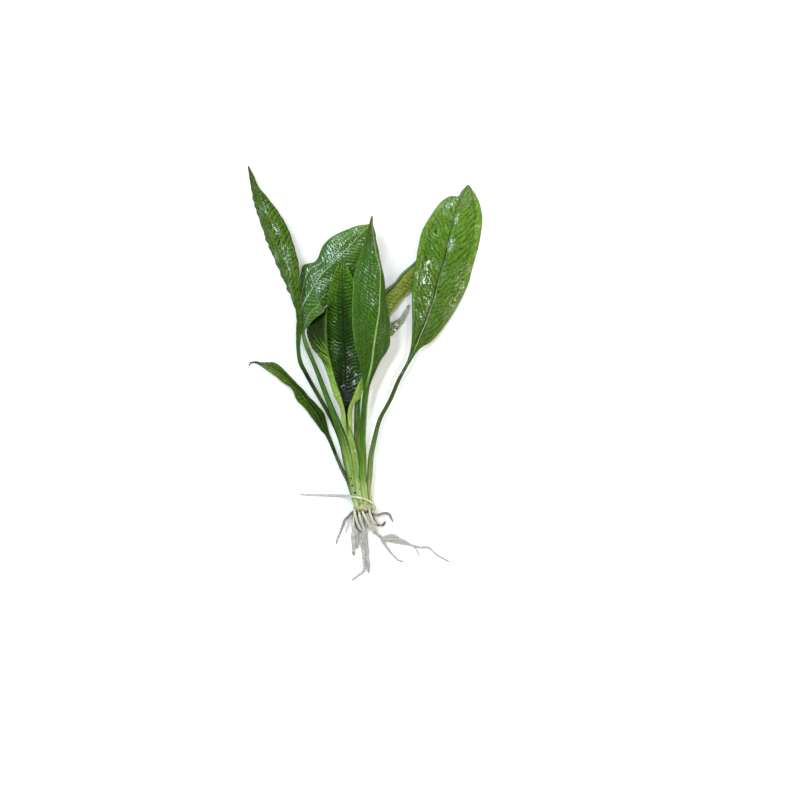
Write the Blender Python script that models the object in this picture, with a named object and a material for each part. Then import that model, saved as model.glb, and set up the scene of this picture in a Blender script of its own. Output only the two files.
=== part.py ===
"""A bare-root amazon sword plant lying on a flat surface, leaves towards +Y and roots towards -Y.

Each leaf is one closed solid: a petiole that grows into the midrib of a thin blade. The leaves and roots
start a hair's breadth off the two faces of the crown. Points are in millimetres, the surface at z = 0.
"""

import math

import bpy
import bmesh
import numpy as np
from mathutils import Matrix

MM = 0.001

BLADE_THICKNESS = 1.0  # of the plain solid; the real blade is about 0.3
PETIOLE_EDGE_THICKNESS = 0.4
RIB_AT_TIP = 0.3
ROW_SPACING = 7.0
COLUMNS = (-1.0, -0.68, -0.36, -0.12, 0.0, 0.12, 0.36, 0.68, 1.0)  # -1 is the left edge, 1 the right

CROWN_CENTRE = (-1.1, -74.0, 5.6)
CROWN_SIZE = (11.6, 4.0, 10.4)
CROWN_ROUNDING = 1.2
CROWN_SIDES = 20

# Each leaf runs from the crown to its tip. A petiole point is x, y, z, half width, half height. A blade row
# is the left edge, the midrib and the right edge, then how far the two halves stand out of a straight line
# between them: one number is up, and a pair is outwards and up.
LEAVES = {
    "leaf_far_left": {
        "colour": (0.11, 0.22, 0.03),
        "petiole": [
            (-3.8, -71.0, 2.6, 1.1, 1.0),
            (-7.0, -65.0, 2.6, 1.0, 1.0),
            (-9.9, -53.3, 2.8, 1.0, 1.0),
            (-13.8, -36.3, 3.2, 1.0, 1.0),
            (-18.7, -24.7, 3.6, 1.0, 1.0),
            (-25.8, -12.1, 4.4, 1.0, 1.0),
            (-31.9, -1.1, 6.0, 1.0, 1.0),
            (-35.4, 6.0, 7.4, 1.0, 0.9),
        ],
        "blade": [
            ((-37.6, 13.0, 8.4), (-36.5, 12.7, 8.6), (-35.3, 12.6, 8.6), 0, 0),
            ((-37.8, 22.5, 9.6), (-36.3, 22.2, 10.0), (-34.8, 22.0, 10.0), 0, 0),
            ((-37.6, 31.0, 10.2), (-36.3, 30.3, 11.0), (-34.4, 30.8, 11.2), 0, 0),
            ((-39.4, 38.5, 8.4), (-37.7, 38.5, 11.0), (-35.2, 39.0, 11.6), 0.2, 0.2),
            ((-43.5, 48.7, 5.2), (-41.0, 48.4, 10.6), (-35.8, 49.0, 11.8), 0.6, 0.5),
            ((-48.1, 57.8, 2.6), (-44.6, 58.3, 10.0), (-36.2, 59.4, 11.2), 1.0, 0.8),
            ((-52.5, 68.2, 1.2), (-48.1, 68.2, 9.0), (-38.8, 69.3, 10.0), 1.2, 1.0),
            ((-55.8, 77.0, 0.8), (-51.7, 77.5, 8.0), (-42.1, 79.2, 8.6), 1.2, 1.0),
            ((-59.1, 86.3, 0.8), (-55.3, 86.9, 7.0), (-47.3, 88.3, 7.4), 1.0, 0.8),
            ((-61.3, 94.6, 1.4), (-58.0, 95.2, 6.0), (-53.3, 96.2, 6.2), 0.6, 0.4),
            ((-62.5, 101.8, 2.4), (-60.3, 102.3, 5.0), (-58.6, 102.8, 5.0), 0.2, 0.1),
            ((-63.6, 107.8, 3.2), (-62.2, 108.3, 4.0), (-61.0, 108.4, 4.0), 0, 0),
            ((-64.4, 113.2, 2.8), (-64.2, 113.9, 3.0), (-63.6, 113.4, 3.0), 0, 0),
        ],
    },
    "leaf_low_left": {
        "colour": (0.05, 0.11, 0.02),
        "petiole": [
            (-5.8, -71.5, 4.8, 0.9, 0.9),
            (-7.8, -65.4, 5.2, 0.9, 0.9),
            (-9.6, -58.3, 5.1, 0.9, 0.9),
            (-12.4, -53.3, 4.2, 0.9, 0.9),
            (-16.2, -44.5, 3.0, 0.9, 0.9),
            (-18.8, -38.0, 2.4, 0.9, 0.9),
        ],
        "blade": [
            ((-22.0, -34.2, 2.6), (-20.8, -33.0, 2.0), (-19.8, -32.2, 2.6), 0, 0),
            ((-24.8, -30.8, 4.6), (-23.1, -27.5, 1.8), (-21.8, -23.7, 5.0), -0.3, -0.3),
            ((-29.7, -24.2, 5.6), (-26.4, -21.2, 1.8), (-25.2, -18.7, 7.2), -0.5, -0.5),
            ((-34.1, -18.7, 6.2), (-30.8, -15.4, 1.8), (-29.2, -14.3, 8.4), -0.6, -0.6),
            ((-38.0, -13.2, 6.4), (-35.2, -9.9, 1.8), (-33.4, -9.4, 8.6), -0.6, -0.6),
            ((-44.6, -5.8, 5.6), (-41.2, -3.6, 1.8), (-39.3, -3.4, 7.6), -0.5, -0.5),
            ((-49.0, -2.2, 4.6), (-46.2, 0.3, 1.6), (-45.0, 2.2, 6.0), -0.3, -0.3),
            ((-53.9, 1.1, 3.2), (-51.7, 3.6, 1.4), (-49.7, 6.0, 3.6), 0, 0),
            ((-57.2, 3.2, 1.8), (-56.7, 4.2, 1.4), (-56.1, 5.2, 2.0), 0, 0),
            ((-63.1, 3.7, 2.4), (-63.4, 4.4, 2.4), (-63.1, 5.0, 2.5), 0, 0),
        ],
    },
    "leaf_broad_back": {
        "colour": (0.08, 0.19, 0.05),
        "petiole": [
            (-4.2, -71.5, 7.6, 1.2, 1.2),
            (-5.6, -64.0, 7.6, 1.4, 1.2),
            (-7.2, -56.7, 7.6, 1.6, 1.2),
            (-9.4, -46.2, 7.5, 1.6, 1.2),
            (-12.6, -34.1, 7.5, 1.5, 1.2),
            (-17.4, -20.9, 7.5, 1.4, 1.2),
            (-22.5, -8.3, 7.4, 1.3, 1.2),
            (-28.3, 6.0, 7.2, 1.2, 1.1),
            (-32.0, 14.5, 7.0, 1.2, 1.0),
        ],
        "blade": [
            ((-35.4, 24.6, 6.6), (-34.2, 23.6, 7.0), (-33.0, 22.8, 7.0), 0, 0),
            ((-36.9, 34.7, 5.6), (-34.4, 31.9, 7.4), (-30.9, 25.6, 11.0), 0, 0.3),
            ((-36.9, 42.4, 4.8), (-33.0, 38.5, 8.0), (-28.0, 28.9, 14.6), 0.4, 0),
            ((-36.3, 49.5, 4.2), (-29.7, 44.6, 8.8), (-22.8, 33.2, 17.4), 0.8, -1.0),
            ((-35.3, 54.2, 4.2), (-27.2, 48.6, 9.3), (-22.6, 36.0, 10.8), 0.9, 0.6),
            ((-34.1, 58.3, 4.4), (-24.8, 52.5, 9.8), (-17.0, 39.4, 8.4), 1.0, 0.8),
            ((-27.0, 61.6, 6.6), (-18.7, 58.9, 10.8), (-10.5, 44.5, 7.6), 0.6, 1.0),
            ((-23.1, 69.9, 7.8), (-12.7, 64.9, 11.4), (-3.9, 51.5, 8.0), 0.8, 1.0),
            ((-18.7, 74.0, 9.2), (-7.7, 69.9, 11.8), (1.1, 59.0, 8.8), 0.8, 0.8),
            ((-11.6, 77.8, 10.4), (-3.3, 74.8, 12.0), (5.0, 67.6, 9.8), 0.6, 0.4),
            ((-4.4, 80.6, 11.2), (0.5, 78.6, 11.8), (6.1, 74.8, 10.8), 0.2, 0.2),
            ((2.8, 81.6, 11.2), (3.8, 81.9, 11.4), (4.6, 81.0, 11.2), 0, 0),
        ],
    },
    "leaf_centre": {
        "colour": (0.03, 0.09, 0.015),
        "petiole": [
            (-1.5, -71.5, 8.8, 1.2, 1.2),
            (-2.6, -64.0, 9.0, 1.4, 1.2),
            (-3.7, -58.0, 9.0, 1.4, 1.2),
            (-5.5, -46.8, 9.0, 1.6, 1.3),
            (-8.1, -36.9, 9.0, 1.7, 1.3),
        ],
        "blade": [
            ((-10.2, -27.9, 12.4), (-9.6, -28.0, 9.0), (-9.1, -27.9, 12.4), (2.4, 0.2), (2.4, 0.2)),
            ((-10.9, -20.0, 14.0), (-9.9, -20.5, 9.0), (-9.2, -20.0, 14.0), (3.6, -0.4), (3.6, -0.4)),
            ((-12.8, -13.2, 15.0), (-10.2, -13.8, 9.0), (-6.8, -13.8, 15.0), (5.4, -0.8), (5.6, -0.8)),
            ((-16.0, -3.9, 15.4), (-10.5, -5.0, 9.0), (-3.6, -5.5, 15.4), (6.2, -1.2), (6.6, -1.4)),
            ((-18.5, 6.0, 15.6), (-10.8, 5.0, 9.0), (0.4, 3.8, 14.6), (6.6, -1.6), (7.0, -1.8)),
            ((-20.2, 14.6, 15.4), (-11.3, 14.9, 9.0), (1.6, 13.8, 14.6), (10.6, -2.0), (7.8, -2.0)),
            ((-20.6, 23.7, 15.0), (-11.7, 23.7, 9.6), (2.0, 23.0, 14.6), (9.6, -1.8), (7.4, -1.8)),
            ((-20.6, 32.8, 15.8), (-12.1, 33.0, 11.6), (1.6, 32.4, 15.0), (4.6, -0.8), (5.0, -1.0)),
            ((-20.0, 41.8, 16.8), (-12.3, 41.8, 13.6), (-1.6, 40.6, 16.4), (1.0, -0.8), (2.0, -1.0)),
            ((-18.4, 49.0, 17.0), (-12.4, 49.0, 14.6), (-5.0, 48.4, 16.8), (0, -0.6), (0, -0.6)),
            ((-16.0, 56.1, 16.6), (-12.4, 56.1, 15.4), (-8.3, 55.8, 16.6), (0, -0.3), (0, -0.3)),
            ((-12.7, 62.2, 16.0), (-12.1, 62.7, 15.8), (-11.5, 62.2, 16.0), 0, 0),
        ],
    },
    "leaf_front": {
        "colour": (0.10, 0.22, 0.03),
        "petiole": [
            (1.2, -71.5, 8.0, 1.2, 1.2),
            (0.6, -64.5, 9.0, 1.3, 1.2),
            (-0.2, -57.0, 9.7, 1.4, 1.3),
            (-1.1, -46.8, 10.8, 1.5, 1.4),
            (-1.4, -36.0, 12.2, 1.6, 1.4),
            (-1.1, -24.8, 13.6, 1.6, 1.4),
            (-0.4, -17.5, 14.6, 1.5, 1.3),
        ],
        "blade": [
            ((-0.9, -9.0, 15.6), (0.6, -9.9, 15.8), (2.1, -9.5, 15.6), 0, 0),
            ((-1.4, -1.0, 17.0), (2.2, -2.2, 17.8), (5.0, -1.4, 17.0), 0.2, 0.2),
            ((-3.2, 7.3, 18.4), (3.9, 5.5, 20.0), (8.3, 6.0, 17.6), 0.5, 0.5),
            ((-5.2, 14.9, 19.4), (5.0, 14.9, 22.4), (13.4, 14.4, 17.4), 1.0, 1.2),
            ((-6.7, 24.8, 20.2), (6.6, 24.8, 24.4), (13.9, 23.7, 16.6), 1.2, 1.4),
            ((-6.9, 33.5, 20.6), (7.7, 32.5, 25.4), (12.9, 33.0, 15.6), 1.4, 1.2),
            ((-6.7, 41.8, 20.8), (8.3, 41.3, 25.8), (11.8, 41.3, 15.2), 1.4, 1.0),
            ((-6.0, 51.2, 20.6), (8.6, 51.2, 25.4), (10.7, 51.2, 15.4), 1.4, 0.8),
            ((-4.0, 58.8, 20.2), (8.0, 57.8, 24.6), (9.5, 57.8, 15.8), 1.2, 0.6),
            ((-2.5, 64.9, 19.6), (6.3, 64.4, 23.6), (7.8, 64.9, 16.6), 1.0, 0.4),
            ((0.0, 73.2, 18.6), (5.0, 73.2, 21.4), (6.0, 73.2, 17.2), 0.5, 0.2),
            ((1.9, 80.0, 17.6), (4.1, 79.8, 19.2), (4.9, 79.4, 17.4), 0.2, 0),
            ((3.3, 85.4, 16.4), (3.9, 85.9, 16.8), (4.4, 85.4, 16.4), 0, 0),
        ],
    },
    "leaf_right": {
        "colour": (0.12, 0.25, 0.04),
        "petiole": [
            (3.4, -71.5, 5.4, 1.0, 1.0),
            (3.2, -65.0, 6.0, 1.1, 1.1),
            (2.8, -57.0, 6.6, 1.1, 1.1),
            (3.3, -45.7, 7.5, 1.1, 1.1),
            (5.5, -35.8, 8.2, 1.1, 1.1),
            (8.3, -25.3, 8.8, 1.1, 1.1),
            (13.6, -15.4, 9.2, 1.1, 1.1),
            (18.7, -3.6, 9.6, 1.1, 1.1),
        ],
        "blade": [
            ((23.4, 7.4, 9.6), (24.2, 6.6, 9.8), (25.0, 5.8, 9.6), 0, 0),
            ((25.3, 15.4, 10.0), (27.5, 13.8, 9.8), (30.3, 13.2, 8.6), 0.2, 0.2),
            ((25.8, 24.0, 10.2), (30.3, 20.4, 9.6), (35.8, 17.6, 5.6), 0.4, 0.6),
            ((25.8, 35.0, 9.8), (34.1, 29.7, 9.0), (43.4, 27.2, 3.2), 0.6, 1.0),
            ((25.8, 46.0, 9.2), (38.0, 40.7, 8.2), (50.6, 38.7, 1.6), 0.8, 1.2),
            ((27.5, 57.8, 8.2), (41.3, 53.4, 7.2), (55.8, 48.4, 0.8), 0.8, 1.2),
            ((29.2, 68.8, 6.6), (44.6, 64.4, 6.2), (60.0, 61.0, 0.6), 0.8, 1.0),
            ((31.9, 79.2, 4.4), (46.8, 75.4, 5.4), (63.3, 74.0, 0.6), 0.8, 0.8),
            ((36.9, 87.5, 2.6), (49.0, 83.6, 4.8), (64.4, 85.0, 0.8), 0.6, 0.6),
            ((42.9, 95.0, 3.2), (51.2, 91.3, 4.6), (62.7, 94.0, 1.6), 0.4, 0.4),
            ((50.6, 97.4, 4.2), (53.9, 97.4, 4.6), (60.3, 98.6, 2.6), 0.2, 0.2),
            ((55.6, 102.0, 4.2), (56.6, 103.0, 4.4), (57.6, 102.2, 4.2), 0, 0),
        ],
    },
    "leaf_right_behind": {
        "colour": (0.17, 0.22, 0.06),
        "petiole": [
            (1.6, -71.5, 2.6, 1.1, 1.0),
            (0.2, -62.0, 3.2, 1.1, 1.0),
            (-1.8, -54.0, 4.2, 1.2, 1.0),
            (-3.2, -46.8, 5.0, 1.2, 1.0),
            (-3.9, -31.0, 6.2, 1.2, 1.0),
            (-3.6, -18.0, 6.6, 1.2, 1.0),
            (-2.4, -5.0, 6.4, 1.1, 1.0),
            (-0.4, 7.0, 6.2, 1.1, 1.0),
        ],
        "blade": [
            ((1.3, 18.6, 5.8), (2.6, 17.6, 6.2), (3.9, 17.0, 5.8), 0, 0),
            ((3.3, 29.6, 3.4), (5.2, 27.8, 6.6), (9.2, 24.0, 4.6), 0.4, 0.4),
            ((6.6, 38.8, 1.6), (8.3, 37.2, 6.6), (13.4, 30.2, 3.8), 0.8, 0.8),
            ((10.3, 44.8, 1.0), (11.8, 43.2, 6.4), (17.6, 35.6, 3.4), 1.0, 1.0),
            ((15.8, 49.6, 1.0), (17.0, 48.2, 6.2), (22.2, 41.6, 3.2), 1.0, 1.0),
            ((19.9, 55.0, 1.0), (21.2, 53.6, 5.6), (26.9, 46.0, 2.6), 0.8, 0.8),
            ((24.6, 59.2, 1.2), (25.8, 58.0, 4.8), (30.8, 51.4, 2.0), 0.6, 0.6),
            ((29.6, 63.4, 1.4), (30.5, 62.0, 3.8), (34.6, 57.4, 1.6), 0.3, 0.3),
            ((35.6, 64.6, 2.0), (36.3, 64.4, 2.2), (36.6, 63.6, 2.0), 0, 0),
        ],
    },
    "leaf_small_withered": {
        "colour": (0.19, 0.22, 0.09),
        "petiole": [
            (-1.0, -71.2, 4.2, 0.8, 0.8),
            (-3.0, -63.0, 2.4, 0.8, 0.8),
            (-2.6, -54.0, 1.4, 0.8, 0.8),
            (-0.8, -44.0, 1.2, 0.8, 0.8),
            (1.0, -30.0, 1.2, 0.8, 0.8),
            (2.4, -12.0, 1.2, 0.8, 0.8),
            (4.4, 2.0, 1.3, 0.8, 0.8),
            (7.4, 13.0, 1.4, 0.8, 0.7),
        ],
        "blade": [
            ((9.9, 22.6, 1.8), (10.5, 21.2, 1.8), (11.5, 20.2, 1.6), 0, 0),
            ((13.5, 26.8, 2.0), (14.3, 23.7, 1.6), (14.9, 20.3, 1.2), -0.2, 0.2),
            ((16.5, 28.7, 2.2), (17.3, 26.4, 1.6), (18.0, 24.0, 1.0), -0.2, 0.2),
            ((19.4, 30.9, 2.0), (20.2, 29.2, 1.5), (21.2, 27.4, 1.0), 0, 0),
            ((21.0, 33.3, 1.8), (22.1, 32.5, 1.5), (23.1, 31.9, 1.4), 0, 0),
            ((23.7, 37.4, 2.2), (24.2, 37.6, 2.2), (24.7, 37.3, 2.2), 0, 0),
        ],
    },
}

# Each root runs from the crown to its end: x, y, z, radius.
ROOTS = {
    "root_left_thin": [
        (-5.8, -76.9, 4.4, 0.65),
        (-8.4, -78.0, 2.8, 0.7),
        (-10.8, -80.6, 1.4, 0.65),
        (-12.6, -85.0, 0.8, 0.6),
        (-14.4, -89.6, 0.6, 0.5),
        (-15.8, -94.0, 0.4, 0.35),
    ],
    "root_left_thick": [
        (-4.2, -76.8, 2.2, 1.1),
        (-5.6, -79.6, 1.6, 1.2),
        (-6.1, -85.2, 1.3, 1.25),
        (-6.3, -94.6, 1.1, 1.1),
        (-6.1, -100.6, 0.8, 0.75),
    ],
    "root_left_dark": [
        (-4.0, -76.8, 6.4, 0.5),
        (-5.4, -79.4, 5.4, 0.5),
        (-5.2, -82.8, 4.4, 0.5),
        (-4.0, -85.8, 3.8, 0.45),
        (-1.8, -87.6, 3.2, 0.4),
    ],
    "root_middle_hooked": [
        (-2.4, -76.8, 4.0, 0.9),
        (-2.6, -82.0, 2.4, 0.95),
        (-2.4, -88.0, 1.2, 0.95),
        (-1.6, -94.6, 1.0, 0.95),
        (-0.5, -102.4, 0.9, 0.85),
        (-0.7, -108.4, 0.8, 0.7),
        (-3.4, -111.2, 0.6, 0.55),
        (-7.6, -113.9, 0.5, 0.4),
    ],
    "root_middle_blunt": [
        (0.2, -76.8, 3.0, 0.9),
        (0.1, -83.0, 1.8, 0.95),
        (0.5, -90.0, 1.1, 0.95),
        (1.3, -98.0, 1.0, 0.95),
        (1.8, -106.0, 0.9, 0.85),
        (2.0, -110.0, 0.8, 0.7),
    ],
    "root_right_stem": [
        (0.6, -76.8, 6.6, 0.95),
        (1.2, -79.0, 6.0, 1.0),
        (2.0, -82.0, 4.8, 1.0),
        (3.6, -84.8, 3.2, 1.0),
        (5.8, -87.0, 1.8, 1.0),
        (8.0, -89.4, 1.0, 0.95),
        (9.3, -91.0, 0.9, 0.9),
    ],
    "root_right_lower_branch": [
        (10.0, -93.1, 0.8, 0.75),
        (12.1, -95.7, 0.7, 0.7),
        (14.3, -99.0, 0.6, 0.6),
        (17.0, -101.8, 0.5, 0.5),
        (21.4, -104.0, 0.4, 0.35),
    ],
    "root_right_upper_branch": [
        (10.9, -91.4, 0.8, 0.75),
        (15.4, -92.8, 0.7, 0.7),
        (20.4, -93.5, 0.7, 0.65),
        (25.4, -94.8, 0.6, 0.6),
        (30.4, -95.7, 0.6, 0.55),
        (34.4, -96.0, 0.5, 0.5),
        (39.0, -99.4, 0.5, 0.45),
        (46.2, -104.0, 0.4, 0.35),
    ],
    "root_right_short": [
        (2.4, -76.8, 7.6, 0.6),
        (3.4, -79.0, 7.0, 0.7),
        (4.4, -81.6, 6.0, 0.7),
        (6.0, -84.2, 4.8, 0.6),
    ],
    "root_right_loop": [
        (3.6, -76.8, 5.4, 0.65),
        (5.6, -78.2, 4.6, 0.65),
        (8.4, -77.6, 3.2, 0.65),
        (11.4, -77.0, 2.0, 0.65),
        (13.6, -77.8, 1.2, 0.6),
        (14.3, -80.0, 0.7, 0.55),
        (15.4, -82.2, 0.5, 0.4),
    ],
    "root_right_dark": [
        (3.2, -76.9, 2.8, 0.6),
        (4.6, -80.4, 1.6, 0.6),
        (6.6, -83.6, 0.8, 0.6),
        (9.4, -83.8, 0.7, 0.6),
        (11.4, -81.4, 0.6, 0.5),
    ],
    "root_over_crown": [
        (5.6, -75.0, 6.4, 0.45),
        (5.2, -72.8, 8.4, 0.45),
        (3.4, -70.9, 10.2, 0.45),
        (0.4, -69.2, 11.2, 0.45),
        (-3.6, -68.2, 11.4, 0.45),
        (-7.6, -67.6, 9.6, 0.45),
        (-10.4, -67.4, 6.0, 0.45),
        (-13.6, -67.3, 1.8, 0.45),
        (-18.0, -67.3, 0.5, 0.45),
        (-24.6, -67.2, 0.5, 0.4),
        (-31.0, -67.0, 0.5, 0.4),
        (-36.2, -66.6, 0.4, 0.35),
    ],
}
ROOT_COLOUR = (0.72, 0.66, 0.50)
DARK_ROOT_COLOUR = (0.14, 0.09, 0.05)
CROWN_COLOUR = (0.62, 0.60, 0.36)
LEAF_ROUGHNESS = 0.25
ROOT_ROUGHNESS = 0.45
ROOT_STEPS = 2  # of the smooth curve from one of a root's own points to the next
ROOT_RINGS = 2  # bevel resolution: 8 sides


def clear_scene():
    for obj in list(bpy.data.objects):
        bpy.data.objects.remove(obj, do_unlink=True)


def new_collection(name):
    collection = bpy.data.collections.new(name)
    bpy.context.scene.collection.children.link(collection)
    return collection


def new_material(name, colour, roughness):
    material = bpy.data.materials.new(name)
    material.use_nodes = True
    shader = material.node_tree.nodes["Principled BSDF"]
    shader.inputs["Base Color"].default_value = (*colour, 1.0)
    shader.inputs["Roughness"].default_value = roughness
    shader.inputs["Metallic"].default_value = 0.0
    return material


def smooth_values(knots, values, at):
    """Read a smooth curve through values, which stand at the places knots, at the places at."""
    slopes = np.gradient(values, knots, axis=0)
    index = np.clip(np.searchsorted(knots, at, side="right") - 1, 0, len(knots) - 2)
    span = (knots[index + 1] - knots[index])[:, None]
    t = ((at - knots[index])[:, None]) / span
    start, end = values[index], values[index + 1]
    return (
        start * (2 * t**3 - 3 * t**2 + 1)
        + slopes[index] * span * (t**3 - 2 * t**2 + t)
        + end * (3 * t**2 - 2 * t**3)
        + slopes[index + 1] * span * (t**3 - t**2)
    )


def lengths_along(points):
    steps = np.linalg.norm(np.diff(points, axis=0), axis=1)
    return np.concatenate([[0.0], np.cumsum(steps)])


def petiole_rows(petiole, blade_start):
    """Rows like the blade's for the petiole: its left side, middle and right side, level with each other."""
    middles = np.array([point[:3] for point in petiole] + [blade_start])
    ahead = np.gradient(middles[:, :2], axis=0)
    rows = []
    for (x, y, z, half_width, half_height), (dx, dy) in zip(petiole, ahead):
        length = math.hypot(dx, dy)
        side = np.array([dy / length, -dx / length, 0.0]) * half_width
        middle = np.array([x, y, z])
        left, right = middle - side, middle + side
        sizes = (half_width, half_height, PETIOLE_EDGE_THICKNESS)
        rows.append([left, (left + middle) / 2, middle, (middle + right) / 2, right, sizes])
    return rows


def halfway_point(middle, edge, bulge):
    """The point halfway across one half of the blade. A pair moves it outwards and up, a number only up."""
    outwards, up = bulge if isinstance(bulge, tuple) else (0.0, bulge)
    away = (edge - middle)[:2]
    return (middle + edge) / 2 + np.array([*(away / np.linalg.norm(away) * outwards), up])


def blade_rows(blade, rib):
    middles = np.array([row[1] for row in blade])
    share = lengths_along(middles) / lengths_along(middles)[-1]
    rows = []
    for (left, middle, right, bulge_left, bulge_right), done in zip(blade, share):
        left, middle, right = (np.array(point, float) for point in (left, middle, right))
        half_width, half_height = (size * (1 - done) + RIB_AT_TIP * done for size in rib)
        rows.append(
            [
                left,
                halfway_point(middle, left, bulge_left),
                middle,
                halfway_point(middle, right, bulge_right),
                right,
                (half_width, half_height, BLADE_THICKNESS),
            ]
        )
    return rows


def across(row, column):
    """The point of a row at a column from -1 to 1, on a curve through the edge, halfway and middle points."""
    left, half_left, middle, half_right, right = row[:15].reshape(5, 3)
    edge, halfway = (left, half_left) if column < 0 else (right, half_right)
    t = abs(column)
    control = 2 * halfway - (middle + edge) / 2
    return middle * (1 - t) ** 2 + control * 2 * t * (1 - t) + edge * t**2


def half_thickness(row, point):
    rib_width, rib_height, plate = row[15:]
    away = min(np.linalg.norm(point - row[6:9]) / rib_width, 1.0)
    return max(plate / 2, rib_height * math.sqrt(1 - away**2))


def leaf_mesh(name, petiole, blade):
    rows = petiole_rows(petiole, blade[0][1]) + blade_rows(blade, petiole[-1][3:])
    values = np.array([np.concatenate([*row[:5], row[5]]) for row in rows])
    knots = lengths_along(values[:, 6:9])
    row_count = max(round(knots[-1] / ROW_SPACING), 2)
    values = smooth_values(knots, values, np.linspace(0, knots[-1], row_count + 1))
    sheet = np.array([[across(row, column) for column in COLUMNS] for row in values])
    along, sideways = np.gradient(sheet, axis=0), np.gradient(sheet, axis=1)
    normals = np.cross(sideways, along)
    normals /= np.linalg.norm(normals, axis=2, keepdims=True)
    thickness = np.array([[half_thickness(row, point) for point in line] for row, line in zip(values, sheet)])
    offset = normals * thickness[:, :, None]
    return two_sided_mesh(name, sheet + offset, sheet - offset)


def two_sided_mesh(name, top, bottom):
    """A closed mesh between two grids of points, whose quads are split the same way on both sides."""
    bm = bmesh.new()
    upper = [[bm.verts.new(point * MM) for point in line] for line in top]
    lower = [[bm.verts.new(point * MM) for point in line] for line in bottom]
    last_row, last_column = len(upper) - 1, len(upper[0]) - 1
    for r in range(last_row):
        for c in range(last_column):
            for side, turned in ((upper, False), (lower, True)):
                a, b, c1, d = side[r][c], side[r][c + 1], side[r + 1][c + 1], side[r + 1][c]
                for face in ((a, b, c1), (a, c1, d)):
                    bm.faces.new(face[::-1] if turned else face)
        bm.faces.new((upper[r][0], upper[r + 1][0], lower[r + 1][0], lower[r][0]))
        bm.faces.new((lower[r][-1], lower[r + 1][-1], upper[r + 1][-1], upper[r][-1]))
    for c in range(last_column):
        bm.faces.new((lower[0][c], lower[0][c + 1], upper[0][c + 1], upper[0][c]))
        bm.faces.new((upper[-1][c], upper[-1][c + 1], lower[-1][c + 1], lower[-1][c]))
    mesh = bpy.data.meshes.new(name)
    bmesh.ops.recalc_face_normals(bm, faces=bm.faces)
    bm.to_mesh(mesh)
    bm.free()
    mesh.shade_smooth()
    return mesh


def make_leaf(collection, name, leaf):
    obj = bpy.data.objects.new(name, leaf_mesh(name, leaf["petiole"], leaf["blade"]))
    obj.data.materials.append(new_material(name, leaf["colour"], LEAF_ROUGHNESS))
    collection.objects.link(obj)


def make_root(collection, name, points):
    """A tapering tube on a smooth curve through the root's points."""
    points = np.array(points)
    knots = lengths_along(points[:, :3])
    last = len(points) - 1
    places = np.interp(np.linspace(0, last, last * ROOT_STEPS + 1), range(last + 1), knots)
    points = smooth_values(knots, points, places)
    curve = bpy.data.curves.new(name, "CURVE")
    curve.dimensions = "3D"
    curve.bevel_depth = MM  # times each point's radius
    curve.bevel_resolution = ROOT_RINGS
    curve.use_fill_caps = True
    spline = curve.splines.new("POLY")
    spline.points.add(len(points) - 1)
    for spline_point, (x, y, z, radius) in zip(spline.points, points):
        spline_point.co = (x * MM, y * MM, max(z, radius) * MM, 1.0)
        spline_point.radius = radius
    colour = DARK_ROOT_COLOUR if name.endswith("dark") else ROOT_COLOUR
    curve.materials.append(new_material(name, colour, ROOT_ROUGHNESS))
    collection.objects.link(bpy.data.objects.new(name, curve))


def make_crown(collection):
    """The short stem: a thick disc on edge, with the leaves on its +Y face and the roots on its -Y face."""
    bm = bmesh.new()
    bmesh.ops.create_cone(bm, cap_ends=True, segments=CROWN_SIDES, radius1=0.5, radius2=0.5, depth=1.0)
    stand_up = Matrix.Rotation(math.pi / 2, 4, "X")
    size = Matrix.Diagonal((*(side * MM for side in CROWN_SIZE), 1.0))
    place = Matrix.Translation([value * MM for value in CROWN_CENTRE])
    bmesh.ops.transform(bm, matrix=place @ size @ stand_up, verts=bm.verts)
    rims = [edge for edge in bm.edges if any(len(face.verts) > 4 for face in edge.link_faces)]
    bmesh.ops.bevel(
        bm, geom=rims, offset=CROWN_ROUNDING * MM, segments=2, profile=0.5, affect="EDGES", material=-1
    )
    bmesh.ops.recalc_face_normals(bm, faces=bm.faces)
    mesh = bpy.data.meshes.new("crown")
    bm.to_mesh(mesh)
    bm.free()
    mesh.shade_smooth()
    mesh.materials.append(new_material("crown", CROWN_COLOUR, ROOT_ROUGHNESS))
    collection.objects.link(bpy.data.objects.new("crown", mesh))


def main():
    clear_scene()
    plant = new_collection("amazon_sword_plant")
    make_crown(plant)
    for name, leaf in LEAVES.items():
        make_leaf(plant, name, leaf)
    for name, points in ROOTS.items():
        make_root(plant, name, points)


main()
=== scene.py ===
"""Looks of a bare-root amazon sword plant that lies on a pale surface, seen from straight above.

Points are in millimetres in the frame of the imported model: +Y to the leaf tips, +Z up, surface at z = 0.
"""

import math

import bmesh
import bpy
import numpy as np
from mathutils import Matrix, Vector
from mathutils.bvhtree import BVHTree


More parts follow.
